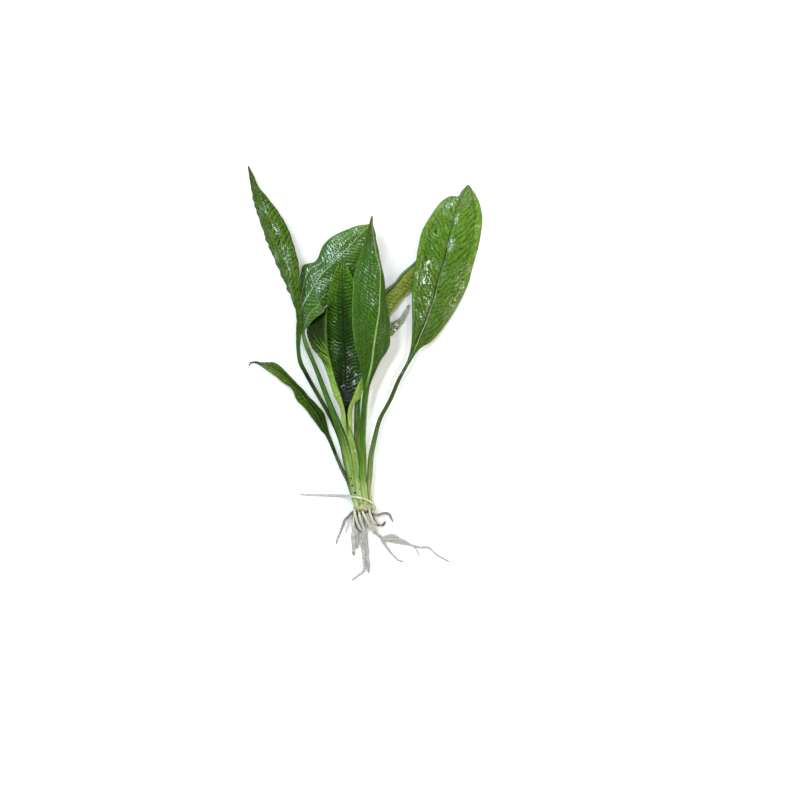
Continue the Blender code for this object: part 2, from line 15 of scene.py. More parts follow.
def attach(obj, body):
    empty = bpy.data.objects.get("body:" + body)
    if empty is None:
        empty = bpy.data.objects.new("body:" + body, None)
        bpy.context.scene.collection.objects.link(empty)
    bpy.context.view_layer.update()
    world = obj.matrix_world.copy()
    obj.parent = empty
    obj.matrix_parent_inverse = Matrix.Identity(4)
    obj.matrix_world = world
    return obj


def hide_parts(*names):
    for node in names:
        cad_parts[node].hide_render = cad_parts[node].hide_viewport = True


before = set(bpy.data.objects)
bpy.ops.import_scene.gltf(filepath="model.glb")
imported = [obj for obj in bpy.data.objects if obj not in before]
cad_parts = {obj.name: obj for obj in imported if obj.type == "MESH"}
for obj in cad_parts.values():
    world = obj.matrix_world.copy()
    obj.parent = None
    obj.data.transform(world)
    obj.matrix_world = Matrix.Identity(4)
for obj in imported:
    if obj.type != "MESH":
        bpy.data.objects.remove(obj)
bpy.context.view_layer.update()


# ---- Right leaf ------------------------------------------------------------------------------------------
# A living leaf that grew in one piece: a thin petiole, half round with a flat face, runs on as the midrib of
# a thin blade. The blade is quilted between its cross veins, and tap water still lies on it as a thin film.

MM = 0.001
BLADE_HALF_THICKNESS = 0.17
RIB_AT_TIP = 0.3
RIB_TAPER = 2.2
PETIOLE_ROW_MM = 1.2
CLOSER_AT_RIB = 1.2
FOLD_MM = 1.6
BESIDE_RIB_MM = 1.5
RAIL_HALF_MM = 0.3
LATERAL_HALF_MM = 0.5
MARGIN_SHARE = 1 / 6
RELIEF_FADE_MM = 8
TIP_SHARE = 1 / 8
SLOW_RIPPLE_MM = 13
VEIN_RIPPLE_MM = 4
CRINKLE_MM = 3.1
SIDES_APART = 40
PUDDLE_LENGTH_PER_WIDTH = 1.6
PETIOLE_STANDING = 0.8
RIB_CHANGES_AT = (-0.8, -0.2)
LOWEST_POINT = 0.05


def smooth_values(knots, values, at):
    """Read a smooth curve through values, which stand at the places knots, at the places at."""
    slopes = np.gradient(values, knots, axis=0)
    index = np.clip(np.searchsorted(knots, at, side="right") - 1, 0, len(knots) - 2)
    span = (knots[index + 1] - knots[index])[:, None]
    t = (at - knots[index])[:, None] / span
    start, end = values[index], values[index + 1]
    return (
        start * (2 * t**3 - 3 * t**2 + 1)
        + slopes[index] * span * (t**3 - 2 * t**2 + t)
        + end * (3 * t**2 - 2 * t**3)
        + slopes[index + 1] * span * (t**3 - t**2)
    )


def lengths_along(points):
    steps = np.linalg.norm(np.diff(points, axis=0), axis=1)
    return np.concatenate([[0.0], np.cumsum(steps)])


def petiole_rows(petiole, blade_start):
    """Rows like the blade's: left side, halfway, middle, halfway, right side, then half width and height."""
    middles = np.array([point[:3] for point in petiole] + [blade_start])
    ahead = np.gradient(middles[:, :2], axis=0)
    rows = []
    for (x, y, z, half_width, half_height), (dx, dy) in zip(petiole, ahead):
        side = np.array([dy, -dx, 0.0]) / math.hypot(dx, dy) * half_width
        middle = np.array([x, y, z])
        points = [middle - side, middle - side / 2, middle, middle + side / 2, middle + side]
        rows.append(np.concatenate([*points, (half_width, half_height)]))
    return rows


def halfway_point(middle, edge, bulge):
    """The point halfway across half a blade. A pair moves it outwards and up, a number only up."""
    outwards, up = bulge if isinstance(bulge, tuple) else (0.0, bulge)
    away = (edge - middle)[:2]
    return (middle + edge) / 2 + np.array([*(away / np.linalg.norm(away) * outwards), up])


def blade_rows(blade, rib):
    middles = np.array([row[1] for row in blade])
    share = lengths_along(middles) / lengths_along(middles)[-1]
    rows = []
    for (left, middle, right, bulge_left, bulge_right), done in zip(blade, share):
        left, middle, right = (np.array(point, float) for point in (left, middle, right))
        halves = halfway_point(middle, left, bulge_left), halfway_point(middle, right, bulge_right)
        sizes = [size * (1 - done) ** RIB_TAPER + RIB_AT_TIP * done for size in rib]
        rows.append(np.concatenate([left, halves[0], middle, halves[1], right, sizes]))
    return rows


def ripples(across, along, size, seed):
    """Smooth irregular waves about size millimetres long, from about -1 to 1."""
    draw = np.random.default_rng(seed)
    total = 0.0
    for angle, phase, scale in draw.uniform((0, 0, 0.6), (math.tau, math.tau, 1.4), (9, 3)):
        place = across * math.cos(angle) + along * math.sin(angle)
        total = total + np.sin(place * math.tau * scale / size + phase)
    return total / 4


def ridge(distance, half_width):
    """1 at a distance of 0, falling smoothly to 0 about two half widths away."""
    return np.exp(-((distance / half_width) ** 2))


def leaf_sheet(rows, columns, starts_at, row_mm):
    """The middle surface of a leaf as a grid of points, with what its rows say and where they are."""
    values = np.array(rows)
    knots = lengths_along(values[:, 6:9])
    base = knots[starts_at]
    on_petiole = np.arange(0.0, base, PETIOLE_ROW_MM)
    on_blade = np.linspace(base, knots[-1], round((knots[-1] - base) / row_mm) + 1)
    places = np.concatenate([on_petiole, on_blade])
    values = smooth_values(knots, values, places)
    even = np.linspace(-1, 1, columns)
    share = np.sign(even) * np.abs(even) ** CLOSER_AT_RIB
    left, half_left, middle, half_right, right = (values[:, None, i : i + 3] for i in range(0, 15, 3))
    t = np.abs(share)[None, :, None]
    on_left = (share < 0)[None, :, None]
    edge = np.where(on_left, left, right)
    halfway = np.where(on_left, half_left, half_right)
    control = 2 * halfway - (middle + edge) / 2
    sheet = middle * (1 - t) ** 2 + control * 2 * t * (1 - t) + edge * t**2
    return sheet, share, values[:, 15:], places - base, (places - base) / (knots[-1] - base)


def unit_normals(sheet, out):
    """Normals that turn evenly over the fold at the midrib, so that the two faces don't cross there."""
    normals = np.cross(np.gradient(sheet, axis=1), np.gradient(sheet, axis=0))
    normals /= np.linalg.norm(normals, axis=2, keepdims=True)
    own_share = np.clip(out / FOLD_MM, 0, 1)[:, :, None]
    normals = normals * own_share + normals[:, [sheet.shape[1] // 2]] * (1 - own_share)
    return normals / np.linalg.norm(normals, axis=2, keepdims=True)


def millimetres_across(sheet):
    """The distance from the midrib along the sheet, negative on the left."""
    steps = np.linalg.norm(np.diff(sheet, axis=1), axis=2)
    total = np.concatenate([np.zeros((len(sheet), 1)), np.cumsum(steps, axis=1)], axis=1)
    return total - total[:, [sheet.shape[1] // 2]]


def add_tube(bm, rings):
    """Add a closed tube through rings of points. Returns the row and column of each of its vertices.

    Each ring runs anticlockwise seen from the tube's far end, so that the faces look outwards.
    """
    rows, ring = rings.shape[:2]
    first = len(bm.verts)
    new = bmesh.ops.create_cone(bm, cap_ends=True, segments=ring, radius1=1.0, radius2=1.0, depth=1.0)
    edges = {edge for vertex in new["verts"] for edge in vertex.link_edges}
    lengthwise = [edge for edge in edges if abs(edge.verts[0].co.z - edge.verts[1].co.z) > 0.5]
    bmesh.ops.subdivide_edges(bm, edges=lengthwise, cuts=rows - 2, use_grid_fill=True)
    bm.verts.ensure_lookup_table()
    vertices = bm.verts[first:]
    unit = np.array([vertex.co for vertex in vertices])
    row = np.rint((unit[:, 2] + 0.5) * (rows - 1)).astype(int)
    column = np.rint(np.arctan2(unit[:, 1], unit[:, 0]) / math.tau * ring).astype(int) % ring
    for vertex, point in zip(vertices, rings[row, column] * MM):
        vertex.co = point
    return row, column


def finished_piece(name, bm, material, node=None):
    """Turn a bmesh into a smooth piece of the plant, in place of a node if it stands for one."""
    mesh = bpy.data.meshes.new(name)
    bm.to_mesh(mesh)
    bm.free()
    mesh.shade_smooth()
    mesh.materials.append(material)
    piece = bpy.data.objects.new(name, mesh)
    bpy.context.scene.collection.objects.link(piece)
    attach(piece, "root")
    if node:
        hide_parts(node)
    return piece


def tube_piece(name, tubes, material, node=None):
    """One piece of closed tubes. Each is rings of points, and its attributes at the same places."""
    bm = bmesh.new()
    data = {}
    for rings, attributes in tubes:
        row, column = add_tube(bm, rings)
        for key, values in attributes.items():
            data.setdefault(key, []).append(values[row, column])
    piece = finished_piece(name, bm, material, node)
    for key, parts in data.items():
        attribute = piece.data.attributes.new(key, "FLOAT_VECTOR", "POINT")
        attribute.data.foreach_set("vector", np.concatenate(parts).ravel())


def leaf_piece(name, node, petiole, blade, look, material):
    """One leaf as a closed mesh, with the relief that look gives. PLAIN_LOOK explains its sizes."""
    rows = petiole_rows(petiole, blade[0][1]) + blade_rows(blade, petiole[-1][3:])
    ring, seed = look["ring"], look["seed"]
    sheet, share, sizes, along, along_share = leaf_sheet(rows, ring // 2 + 1, len(petiole), look["row_mm"])
    across = millimetres_across(sheet)
    along, along_share = along[:, None], along_share[:, None]
    out, edge_share = np.abs(across), np.abs(share)[None, :]
    half_widths = out[:, [0, -1]]

    # Where water stands, then the height of the relief, which fades out on the petiole and at the tip.
    wet = np.zeros_like(across)
    for puddle_across, puddle_along, radius in look["wet"]:
        middle = puddle_across * half_widths[:, [int(puddle_across > 0)]]
        lengthwise = (along - puddle_along * along[-1]) / PUDDLE_LENGTH_PER_WIDTH
        wet = np.maximum(wet, ridge(np.hypot(across - middle, lengthwise), radius))
    on_blade = np.clip(along / RELIEF_FADE_MM, 0, 1) * np.clip((1 - along_share) / TIP_SHARE, 0, 1)
    side = np.where(across < 0, -1.0, 1.0)
    phase = (along - look["slant"] * out) / look["vein_mm"] + 0.25 * side
    phase += 0.35 * ripples(across, along, SLOW_RIPPLE_MM, seed)
    phase += 0.12 * ripples(across, along, VEIN_RIPPLE_MM, seed + 1)
    inner = np.clip(out / BESIDE_RIB_MM, 0, 1) * np.clip((1 - edge_share) / MARGIN_SHARE, 0, 1)
    relief = look["quilt"] * np.sin(math.pi * phase) ** 2 * inner
    for at in look["lateral_at"]:
        relief -= look["lateral"] * ridge((edge_share - at) * half_widths[:, [0]], LATERAL_HALF_MM)
    relief += look["dents"] * ripples(across, along, SLOW_RIPPLE_MM, seed + 2) * (1 - 0.7 * edge_share**3)
    relief += look["crinkle"] * ripples(across, along, CRINKLE_MM, seed + 3) * inner * (0.4 + 2.5 * wet)
    relief += look["wave"] * edge_share**2 * ripples(side * SIDES_APART, along, look["wave_mm"], seed + 4)
    relief += look["rail"] * ridge(out, RAIL_HALF_MM) - look["groove"] * ridge(out, look["groove_mm"])
    sheet = sheet + unit_normals(sheet, out) * (relief * on_blade)[:, :, None]

    # The two faces stand off the sheet by half the blade's thickness, and by the midrib's own height.
    normals = unit_normals(sheet, out)
    plate = BLADE_HALF_THICKNESS * np.sqrt(1 - edge_share**6)
    rib = sizes[:, [1]] * np.sqrt(np.clip(1 - (out / sizes[:, [0]]) ** 2, 0, 1))
    faces = []
    for key, way in (("rib_above", 1), ("rib_below", -1)):
        standing = rib * np.interp(along_share, RIB_CHANGES_AT, (PETIOLE_STANDING, look[key]))
        faces.append(sheet + way * normals * np.cbrt(plate**3 + standing**3)[:, :, None])

    def round_the_ring(top, bottom):
        """Across the top and back underneath. Both share the points at the two edges, so those count once."""
        return np.concatenate([top, bottom[:, -2:0:-1]], axis=1)

    rings = round_the_ring(*faces)
    rings[:, :, 2] = np.maximum(rings[:, :, 2], LOWEST_POINT)
    places = [np.stack([across, wet, np.full_like(wet, beneath)], axis=2) for beneath in (0, 1)]
    shares = np.stack(np.broadcast_arrays(share, along_share, phase), axis=2)
    attributes = {"place": round_the_ring(*places), "share": round_the_ring(shares, shares)}
    tube_piece(name, [(rings, attributes)], material, node)


def linear(hex_colour):
    """An sRGB hex colour as linear RGBA."""
    shares = [int(hex_colour[i : i + 2], 16) / 255 for i in (0, 2, 4)]
    return (*((c / 12.92 if c <= 0.04045 else ((c + 0.055) / 1.055) ** 2.4) for c in shares), 1.0)


def new_material(name):
    """A new material, its tree, its shader and its object coordinates."""
    material = bpy.data.materials.new(name)
    material.use_nodes = True
    tree = material.node_tree
    coords = tree.nodes.new("ShaderNodeTexCoord").outputs["Object"]
    return material, tree, tree.nodes["Principled BSDF"], coords


def set_inputs(tree, node, inputs):
    """Give a node its inputs, by name or number. A link is linked, and a value is set on the input itself."""
    for socket, value in inputs.items():
        if isinstance(value, bpy.types.NodeSocket):
            tree.links.new(value, node.inputs[socket])
        else:
            node.inputs[socket].default_value = value


def add_node(tree, kind, inputs, output=0, stops=(), **settings):
    """Add a node and return an output. inputs are in the node's order, or by name or number."""
    node = tree.nodes.new("ShaderNode" + kind)
    for key, value in settings.items():
        setattr(node, key, value)
    set_inputs(tree, node, inputs if isinstance(inputs, dict) else dict(enumerate(inputs)))
    for _ in stops[2:]:
        node.color_ramp.elements.new(0.5)
    for i, (at, colour) in enumerate(stops):
        node.color_ramp.elements[i].position = at
        node.color_ramp.elements[i].color = linear(colour)
    return node.outputs[output]


def stained(tree, colour, stains):
    """Lay stains over a colour: each has masks, which are multiplied, its own colour, and how it blends."""
    for (mask, *others), stain, blend in stains:
        for other in others:
            mask = add_node(tree, "Math", (mask, other), operation="MULTIPLY")
        colour = add_node(tree, "Mix", {0: mask, 6: colour, 7: stain}, 2, data_type="RGBA", blend_type=blend)
    return colour


# What sets a leaf's finish, in shares of 1 unless the name ends in mm. blanch: how pale the petiole is at the
# crown. streak: strength of the petiole's streaks. ragged: how unevenly the colours change along the leaf.
# inked: strength of the cross veins on the left and the right half, and inked_below of those underneath.
# line: where a cross vein is full and where it ends, in spacings. lateral: strength of the side veins, which
# run at lateral_at of the half width. edge: strength of the margin's line, which starts at rim. mottle:
# strength
# of light and dark cells. flecks: strength of pale flecks added as painted glints. margin, left_half:
# tints of the outer third and of the left half. film_mm, film_rough: ripples and roughness of the water.
# gloss,
# shine: its strength where it is thin and in its puddles.
PLAIN_FINISH = {
    "blanch": 0.7, "streak": 0.8, "ragged": 0.04, "inked": (0.5, 0.5), "inked_below": 1.0,
    "line": (0.04, 0.2), "lateral": 0.35, "lateral_at": (0.42, 0.74), "edge": 0.3, "rim": 0.95,
    "mottle": 0.4, "flecks": 0.6, "margin": (1.0, 1.0, 1.0), "left_half": (1.0, 1.0, 1.0),
    "film_mm": 0.5, "film_rough": 0.03, "gloss": 0.08, "shine": 1.0,
}
BLANCHED = linear("aeba80")
BLANCHED_FROM, BLANCHED_TO = -58 * MM, -72 * MM
# Painted shade on the flanks of the petiole, which makes it look round.
PETIOLE_FLANK_SHADE = linear("24400e")
# Pale flecks added to the colour as painted glints of the wet film.
PAINTED_GLINT = (0.09, 0.13, 0.02, 1.0)
RIM_WIDTH = 0.035
VEIN_PATCH_MM = 5.0
# Real cells and ripples of the film are too fine to show, so both are drawn this coarse. The film refracts
# more than plain water and the tissue less, so that the glints are bright and the green stays deep.
CELL_MM = 1.0
FILM_RIPPLE_MM = 2.1
TISSUE_RELIEF_MM = 0.1
TISSUE_IOR = 1.12
FILM_IOR = 1.9


def leaf_material(name, upper, under, vein, under_vein, edge_line, rib_mm, rib_lines, **finish):
    """Wet living leaf: matt green tissue under a clear film of water, which gives sharp white glints.

    PLAIN_FINISH explains finish.
    upper and under list (share, colour) from -1 at the crown through 0 at the blade's base to 1 at its tip.
    rib_lines run along the midrib: place and half width, both in half midribs of rib_mm, then colour, and
    strength at the base and at the tip.
    """
    look = PLAIN_FINISH | finish
    material, tree, shader, coords = new_material(name)
    place = add_node(tree, "Attribute", {}, 1, attribute_name="place")
    share = add_node(tree, "Attribute", {}, 1, attribute_name="share")
    across, wet, beneath = add_node(tree, "SeparateXYZ", (place,)).node.outputs
    share_across, share_along, phase = add_node(tree, "SeparateXYZ", (share,)).node.outputs
    out = add_node(tree, "Math", (across,), operation="ABSOLUTE")
    edge = add_node(tree, "Math", (share_across,), operation="ABSOLUTE")
    on_blade = add_node(tree, "MapRange", (share_along, 0.0, 0.12))

    # The colours of the upper and the under side, which change raggedly along the leaf.
    slow = add_node(tree, "Math", (share_along, 6.0), operation="MULTIPLY")
    lengthwise = add_node(tree, "CombineXYZ", (across, slow, beneath))
    streaks = add_node(tree, "TexNoise", {"Vector": lengthwise, "Scale": 1.6, "Detail": 2.0})
    shift = add_node(tree, "MapRange", (streaks, 0.3, 0.7, -look["ragged"], look["ragged"]))
    shift = add_node(tree, "Math", (shift, on_blade), operation="MULTIPLY")
    stop = add_node(tree, "Math", (share_along, shift), operation="ADD")
    stop = add_node(tree, "MapRange", (stop, -1.0, 1.0))
    above, below = (
        add_node(tree, "ValToRGB", (stop,), stops=[((at + 1) / 2, c) for at, c in ramp])
        for ramp in (upper, under)
    )
    colour = add_node(tree, "Mix", {0: beneath, 6: above, 7: below}, 2, data_type="RGBA")
    from_crown = add_node(tree, "SeparateXYZ", (coords,), 1)
    pale = add_node(tree, "MapRange", (from_crown, BLANCHED_FROM, BLANCHED_TO, 0.0, look["blanch"]))

    # The ladder of cross veins, at every whole number of the phase.
    rung = add_node(tree, "Math", (phase, 0.5), operation="PINGPONG")
    veins = add_node(tree, "MapRange", (rung, *look["line"], 1.0, 0.0))
    off_rib = add_node(tree, "MapRange", (out, 0.4, 1.4))
    off_edge = add_node(tree, "MapRange", (edge, 0.97, 0.8))
    patch = add_node(tree, "TexNoise", {"Vector": coords, "Scale": 1 / (VEIN_PATCH_MM * MM), "Detail": 2.0})
    patchy = add_node(tree, "MapRange", (patch, 0.35, 0.65, 0.4, 1.0))
    for mask in (off_rib, off_edge, on_blade, patchy):
        veins = add_node(tree, "Math", (veins, mask), operation="MULTIPLY")
    ink = add_node(tree, "Mix", {0: beneath, 6: linear(vein), 7: linear(under_vein)}, 2, data_type="RGBA")
    inked = add_node(tree, "MapRange", (across, -0.5, 0.5, *look["inked"]))
    inked_face = add_node(tree, "MapRange", (beneath, 0.0, 1.0, 1.0, look["inked_below"]))
    stains = [((pale,), BLANCHED, "MIX"), ((veins, inked, inked_face), ink, "MIX")]

    # The side veins, which run from the blade's base to its tip.
    mm_per_share = add_node(tree, "Math", (out, edge), operation="DIVIDE")
    for at in look["lateral_at"]:
        off = add_node(tree, "Math", (edge, at), operation="SUBTRACT")
        off = add_node(tree, "Math", (off, mm_per_share), operation="MULTIPLY")
        off = add_node(tree, "Math", (off,), operation="ABSOLUTE")
        near = add_node(tree, "MapRange", (off, 0.1, LATERAL_HALF_MM, look["lateral"], 0.0))
        stains.append(((near, on_blade), ink, "MIX"))

    # The midrib and the lines along it, some of them painted shade, the margin's line, and painted shade on
    # the petiole's flanks.
    width = add_node(tree, "MapRange", (share_along, 0.0, 1.0, 1.5 * rib_mm, 0.5 * rib_mm))
    from_rib = add_node(tree, "Math", (across, width), operation="DIVIDE")
    for at, half_width, paint, at_base, at_tip in rib_lines:
        off = add_node(tree, "Math", (from_rib, at), operation="SUBTRACT")
        off = add_node(tree, "Math", (off,), operation="ABSOLUTE")
        strength = add_node(tree, "MapRange", (share_along, 0.0, 1.0, at_base, at_tip))
        near = add_node(tree, "MapRange", (off, half_width, half_width / 2, 0.0, strength))
        stains.append(((near, on_blade), linear(paint), "MIX"))
    rim = add_node(tree, "MapRange", (edge, look["rim"], look["rim"] + RIM_WIDTH, 0.0, look["edge"]))
    # Painted shade: the petiole is darker towards its flanks.
    shaded_flank = add_node(tree, "MapRange", (edge, 0.7, 0.95, 0.0, 0.55))
    on_petiole = add_node(tree, "MapRange", (share_along, 0.0, -0.04))
    stains += [((rim, on_blade), linear(edge_line), "MIX"), ((shaded_flank, on_petiole), PETIOLE_FLANK_SHADE, "MIX")]

    # Light and dark cells on the blade and streaks on the petiole, then tints, and pale flecks added over
    # them as painted glints.
    cells = add_node(tree, "TexNoise", {"Vector": coords, "Scale": 1 / (CELL_MM * MM), "Detail": 3.0})
    far_out = add_node(tree, "Math", (out, 0.35), operation="MULTIPLY")
    weave = add_node(tree, "CombineXYZ", (phase, far_out, beneath))
    woven = add_node(tree, "TexNoise", {"Vector": weave, "Scale": 1.8, "Detail": 2.5})
    grain = add_node(tree, "Math", (woven, cells), operation="ADD")
    mottled = add_node(tree, "MapRange", (grain, 0.7, 1.3, 1 - look["mottle"], 1 + look["mottle"]))
    streaky = add_node(tree, "MapRange", (streaks, 0.3, 0.7, 0.5, 1.5))
    low_down = add_node(tree, "MapRange", (share_along, 0.3, 0.0, 0.0, look["streak"]))
    lightness = add_node(tree, "Mix", {0: low_down, 2: mottled, 3: streaky}, data_type="FLOAT")
    outer = add_node(tree, "MapRange", (edge, 0.68, 0.84))
    leftward = add_node(tree, "MapRange", (across, 0.3, -0.3))
    fine = add_node(tree, "TexNoise", {"Vector": weave, "Scale": 5.5, "Detail": 1.0})
    flecks = add_node(tree, "MapRange", (fine, 0.53, 0.7, 0.0, look["flecks"]))
    stains += [
        ((1.0,), lightness, "MULTIPLY"),
        ((outer,), (*look["margin"], 1.0), "MULTIPLY"),
        ((leftward, on_blade), (*look["left_half"], 1.0), "MULTIPLY"),
        ((flecks, on_blade), PAINTED_GLINT, "ADD"),
    ]

    # The rippled film, deepest in the puddles and a little sunk over the veins, and the tissue's own relief.
    film = add_node(tree, "TexNoise", {"Vector": coords, "Scale": 1 / (FILM_RIPPLE_MM * MM), "Detail": 1.5})
    depth = add_node(tree, "MapRange", (wet, 0.0, 1.0, 0.1, 1.0))
    film = add_node(tree, "Math", (film, depth), operation="MULTIPLY")
    sunk = add_node(tree, "Math", (veins, 0.05), operation="MULTIPLY")
    film = add_node(tree, "Math", (film, sunk), operation="SUBTRACT")
    ridged = add_node(tree, "Math", (cells, veins), operation="SUBTRACT")
    film_normal, tissue_normal = (
        add_node(tree, "Bump", {"Strength": 1.0, "Distance": size * MM, "Height": height})
        for size, height in ((look["film_mm"], film), (TISSUE_RELIEF_MM, ridged))
    )
    shine = add_node(tree, "MapRange", (wet, 0.0, 1.0, look["gloss"], look["shine"]))
    speckle = add_node(tree, "MapRange", (cells, 0.42, 0.6, 0.6, 1.0))
    set_inputs(tree, shader, {
        "Base Color": stained(tree, colour, stains),
        "Roughness": add_node(tree, "MapRange", (cells, 0.3, 0.7, 0.4, 0.6)),
        "IOR": TISSUE_IOR,
        "Normal": tissue_normal,
        "Coat Weight": add_node(tree, "Math", (shine, speckle), operation="MULTIPLY"),
        "Coat Roughness": look["film_rough"],
        "Coat IOR": FILM_IOR,
        "Coat Normal": film_normal,
    })
    return material


RIGHT_PETIOLE = [
    (2.6, -74.4, 4.8, 1.1, 1.1),
    (2.6, -71.6, 5.2, 1.5, 1.4),
    (2.1, -65.5, 6.2, 1.4, 1.3),
    (2.6, -57.0, 6.8, 1.5, 1.2),
    (3.4, -45.7, 7.5, 1.5, 1.2),
    (5.4, -35.8, 8.2, 1.3, 1.1),
    (8.3, -25.3, 8.8, 1.15, 1.1),
    (13.6, -15.4, 9.2, 1.1, 1.1),
    (18.7, -3.6, 9.6, 1.05, 1.0),
]
RIGHT_BLADE = [
    ((23.4, 7.4, 9.6), (24.2, 6.6, 9.8), (25.0, 5.8, 9.6), 0, 0),
    ((25.3, 15.4, 10.0), (27.5, 13.8, 9.8), (30.3, 13.2, 8.6), 0.2, 0.2),
    ((25.8, 24.0, 10.2), (30.3, 20.4, 9.6), (36.6, 17.4, 5.4), 0.4, 0.6),
    ((25.8, 35.0, 9.8), (34.1, 29.7, 9.0), (44.8, 27.2, 3.0), 0.6, 1.0),
    ((25.8, 46.0, 9.2), (38.0, 40.7, 8.2), (51.8, 38.3, 1.4), 0.8, 1.2),
    ((27.5, 57.8, 8.2), (41.3, 53.4, 7.2), (56.6, 48.8, 0.8), 0.8, 1.2),
    ((29.2, 68.8, 6.6), (44.6, 64.4, 6.2), (60.0, 61.0, 0.6), 0.8, 1.0),
    ((31.9, 79.2, 4.4), (46.8, 75.4, 5.4), (63.3, 74.0, 0.6), 0.8, 0.8),
    ((36.9, 87.5, 2.6), (49.0, 83.6, 4.8), (64.4, 85.0, 0.8), 0.6, 0.6),
    ((42.9, 95.0, 2.8), (50.8, 90.6, 4.6), (63.0, 93.0, 1.4), 0.4, 0.4),
    ((47.6, 97.4, 3.2), (52.6, 94.6, 4.6), (61.6, 96.4, 2.0), 0.4, 0.2),
    ((51.0, 97.0, 4.0), (54.0, 97.6, 4.6), (60.4, 98.6, 2.6), 0.0, 0.2),
    ((53.4, 100.2, 4.4), (55.3, 100.6, 4.6), (59.0, 100.8, 3.4), 0, 0),
    ((55.9, 103.0, 4.2), (56.6, 103.5, 4.4), (57.4, 103.0, 4.2), 0, 0),
]
# What sets a leaf's relief, in millimetres. ring: number of points round the sheet. row_mm: length of a row.
# seed: for its ripples. slant, vein_mm: slope and spacing of the cross veins. quilt, dents, crinkle, wave:
# height of the swellings between those veins, of slow ripples, of fine ones and of the margin's waves, which
# are wave_mm long. lateral: depth of the side veins, which run at lateral_at of the half width. groove,
# groove_mm: depth and half width of the furrow along the midrib, and rail: height of the ridge in it.
# rib_above, rib_below: how far the midrib stands out on each side, in shares of its own height. wet: puddles,
# each with its place across in half widths, its place along in blade lengths, and its radius.
PLAIN_LOOK = {
    "ring": 160, "row_mm": 0.42, "seed": 11, "slant": 1.1, "vein_mm": 3.2, "quilt": 0.12, "lateral": 0.14,
    "lateral_at": (0.42, 0.74), "dents": 0.35, "crinkle": 0.03, "wave": 0.35, "wave_mm": 17, "groove": 0.35,
    "groove_mm": 1.0, "rail": 0.2, "rib_above": 0.2, "rib_below": 1.0, "wet": [],
}
leaf_piece(
    "right_leaf", "leaf_right", RIGHT_PETIOLE, RIGHT_BLADE,
    PLAIN_LOOK | {
        "vein_mm": 3.7, "quilt": 0.16, "groove": 0.55, "groove_mm": 1.5, "lateral_at": (0.74,),
        "lateral": 0.2, "wave": 0.12,
        "wet": [
            (-0.48, 0.44, 3.5), (-0.24, 0.25, 2.2), (0.85, 0.34, 3.5), (0.62, 0.5, 2.5), (-0.55, 0.71, 1.2),
            (-0.5, 0.87, 2.5), (0.9, 0.56, 2.5), (0.1, 0.66, 2.0), (0.1, 0.8, 1.6), (-0.48, 0.53, 2.4),
            (0.85, 0.76, 1.5), (0.85, 0.44, 2.8), (-0.28, 0.34, 2.5),
        ],
    },
    leaf_material(
        "wet_leaf_right",
        [(-0.85, "a6b080"), (-0.6, "6c8446"), (-0.4, "47572a"), (-0.05, "3a4a1e"), (0.08, "3e5c1c"),
         (0.3, "46681a"), (0.6, "4c721e"), (0.8, "588024"), (1.0, "668444")],
        [(-0.85, "b3bd90"), (-0.5, "6c844a"), (0.0, "57702f"), (0.3, "6f9048"), (1.0, "7c9a55")],
        "1e380a", "4d6b2c", "4a5a24", 0.35,
        # The two dark lines beside the midrib are painted shade in its groove.
        [(-1.5, 1.8, "142806", 1.0, 0.9), (1.8, 0.9, "142806", 0.8, 0.3), (0.4, 0.8, "8ca862", 1.0, 0.0)],
        inked=(0.8, 0.8), lateral_at=(0.74,), lateral=0.6, margin=(1.4, 1.25, 1.35), mottle=0.6,
        flecks=0.7, left_half=(0.95, 0.94, 0.85),
    ),
)


# ---- Front leaf ------------------------------------------------------------------------------------------
# The topmost leaf lies on its face, so it shows its paler and duller underside, with the midrib standing
# proud as a bright keel. It is folded along that keel and ends in a narrow, slightly twisted tip.

FRONT_PETIOLE = [
    (0.9, -74.8, 7.8, 1.1, 1.0),
    (0.4, -71.6, 8.2, 1.9, 1.5),
    (-0.4, -64.5, 9.2, 1.9, 1.5),
    (-0.9, -57.0, 9.8, 1.95, 1.4),
    (-0.9, -46.8, 10.8, 1.8, 1.4),
    (-1.2, -36.0, 12.2, 1.6, 1.4),
    (-1.0, -24.8, 13.6, 1.5, 1.4),
    (-0.4, -17.5, 14.6, 1.4, 1.3),
]
FRONT_BLADE = [
    ((-0.9, -9.0, 15.6), (0.6, -9.9, 15.8), (2.1, -9.5, 15.6), 0, 0),
    ((-1.4, -1.0, 17.0), (2.2, -2.2, 17.8), (5.0, -1.4, 17.0), 0.2, 0.2),
    ((-3.2, 7.3, 18.4), (3.9, 5.5, 20.0), (8.3, 6.0, 17.6), 0.5, 0.5),
    ((-5.2, 14.9, 19.4), (5.0, 14.9, 22.4), (13.4, 14.4, 17.4), 1.0, 1.2),
    ((-6.7, 24.8, 20.2), (6.6, 24.8, 24.4), (13.9, 23.7, 16.6), 1.2, 1.4),
    ((-6.9, 33.5, 20.6), (7.7, 32.5, 25.4), (12.9, 33.0, 15.6), 1.4, 1.2),
    ((-6.7, 41.8, 20.8), (8.3, 41.3, 25.8), (11.8, 41.3, 15.2), 1.4, 1.0),
    ((-6.0, 51.2, 20.6), (8.6, 51.2, 25.4), (10.7, 51.2, 15.4), 1.4, 0.8),
    ((-4.0, 58.8, 20.2), (8.0, 57.8, 24.6), (9.5, 57.8, 15.8), 1.2, 0.6),
    ((-2.5, 64.9, 19.6), (6.3, 64.4, 23.6), (7.8, 64.9, 16.6), 1.0, 0.4),
    ((0.0, 73.2, 18.6), (5.0, 73.2, 21.4), (6.0, 73.2, 17.2), 0.5, 0.2),
    ((1.9, 80.0, 17.6), (4.1, 79.8, 19.2), (4.9, 79.4, 17.4), 0.2, 0),
    ((3.3, 85.4, 16.4), (3.9, 85.9, 16.8), (4.4, 85.4, 16.4), 0, 0),
]
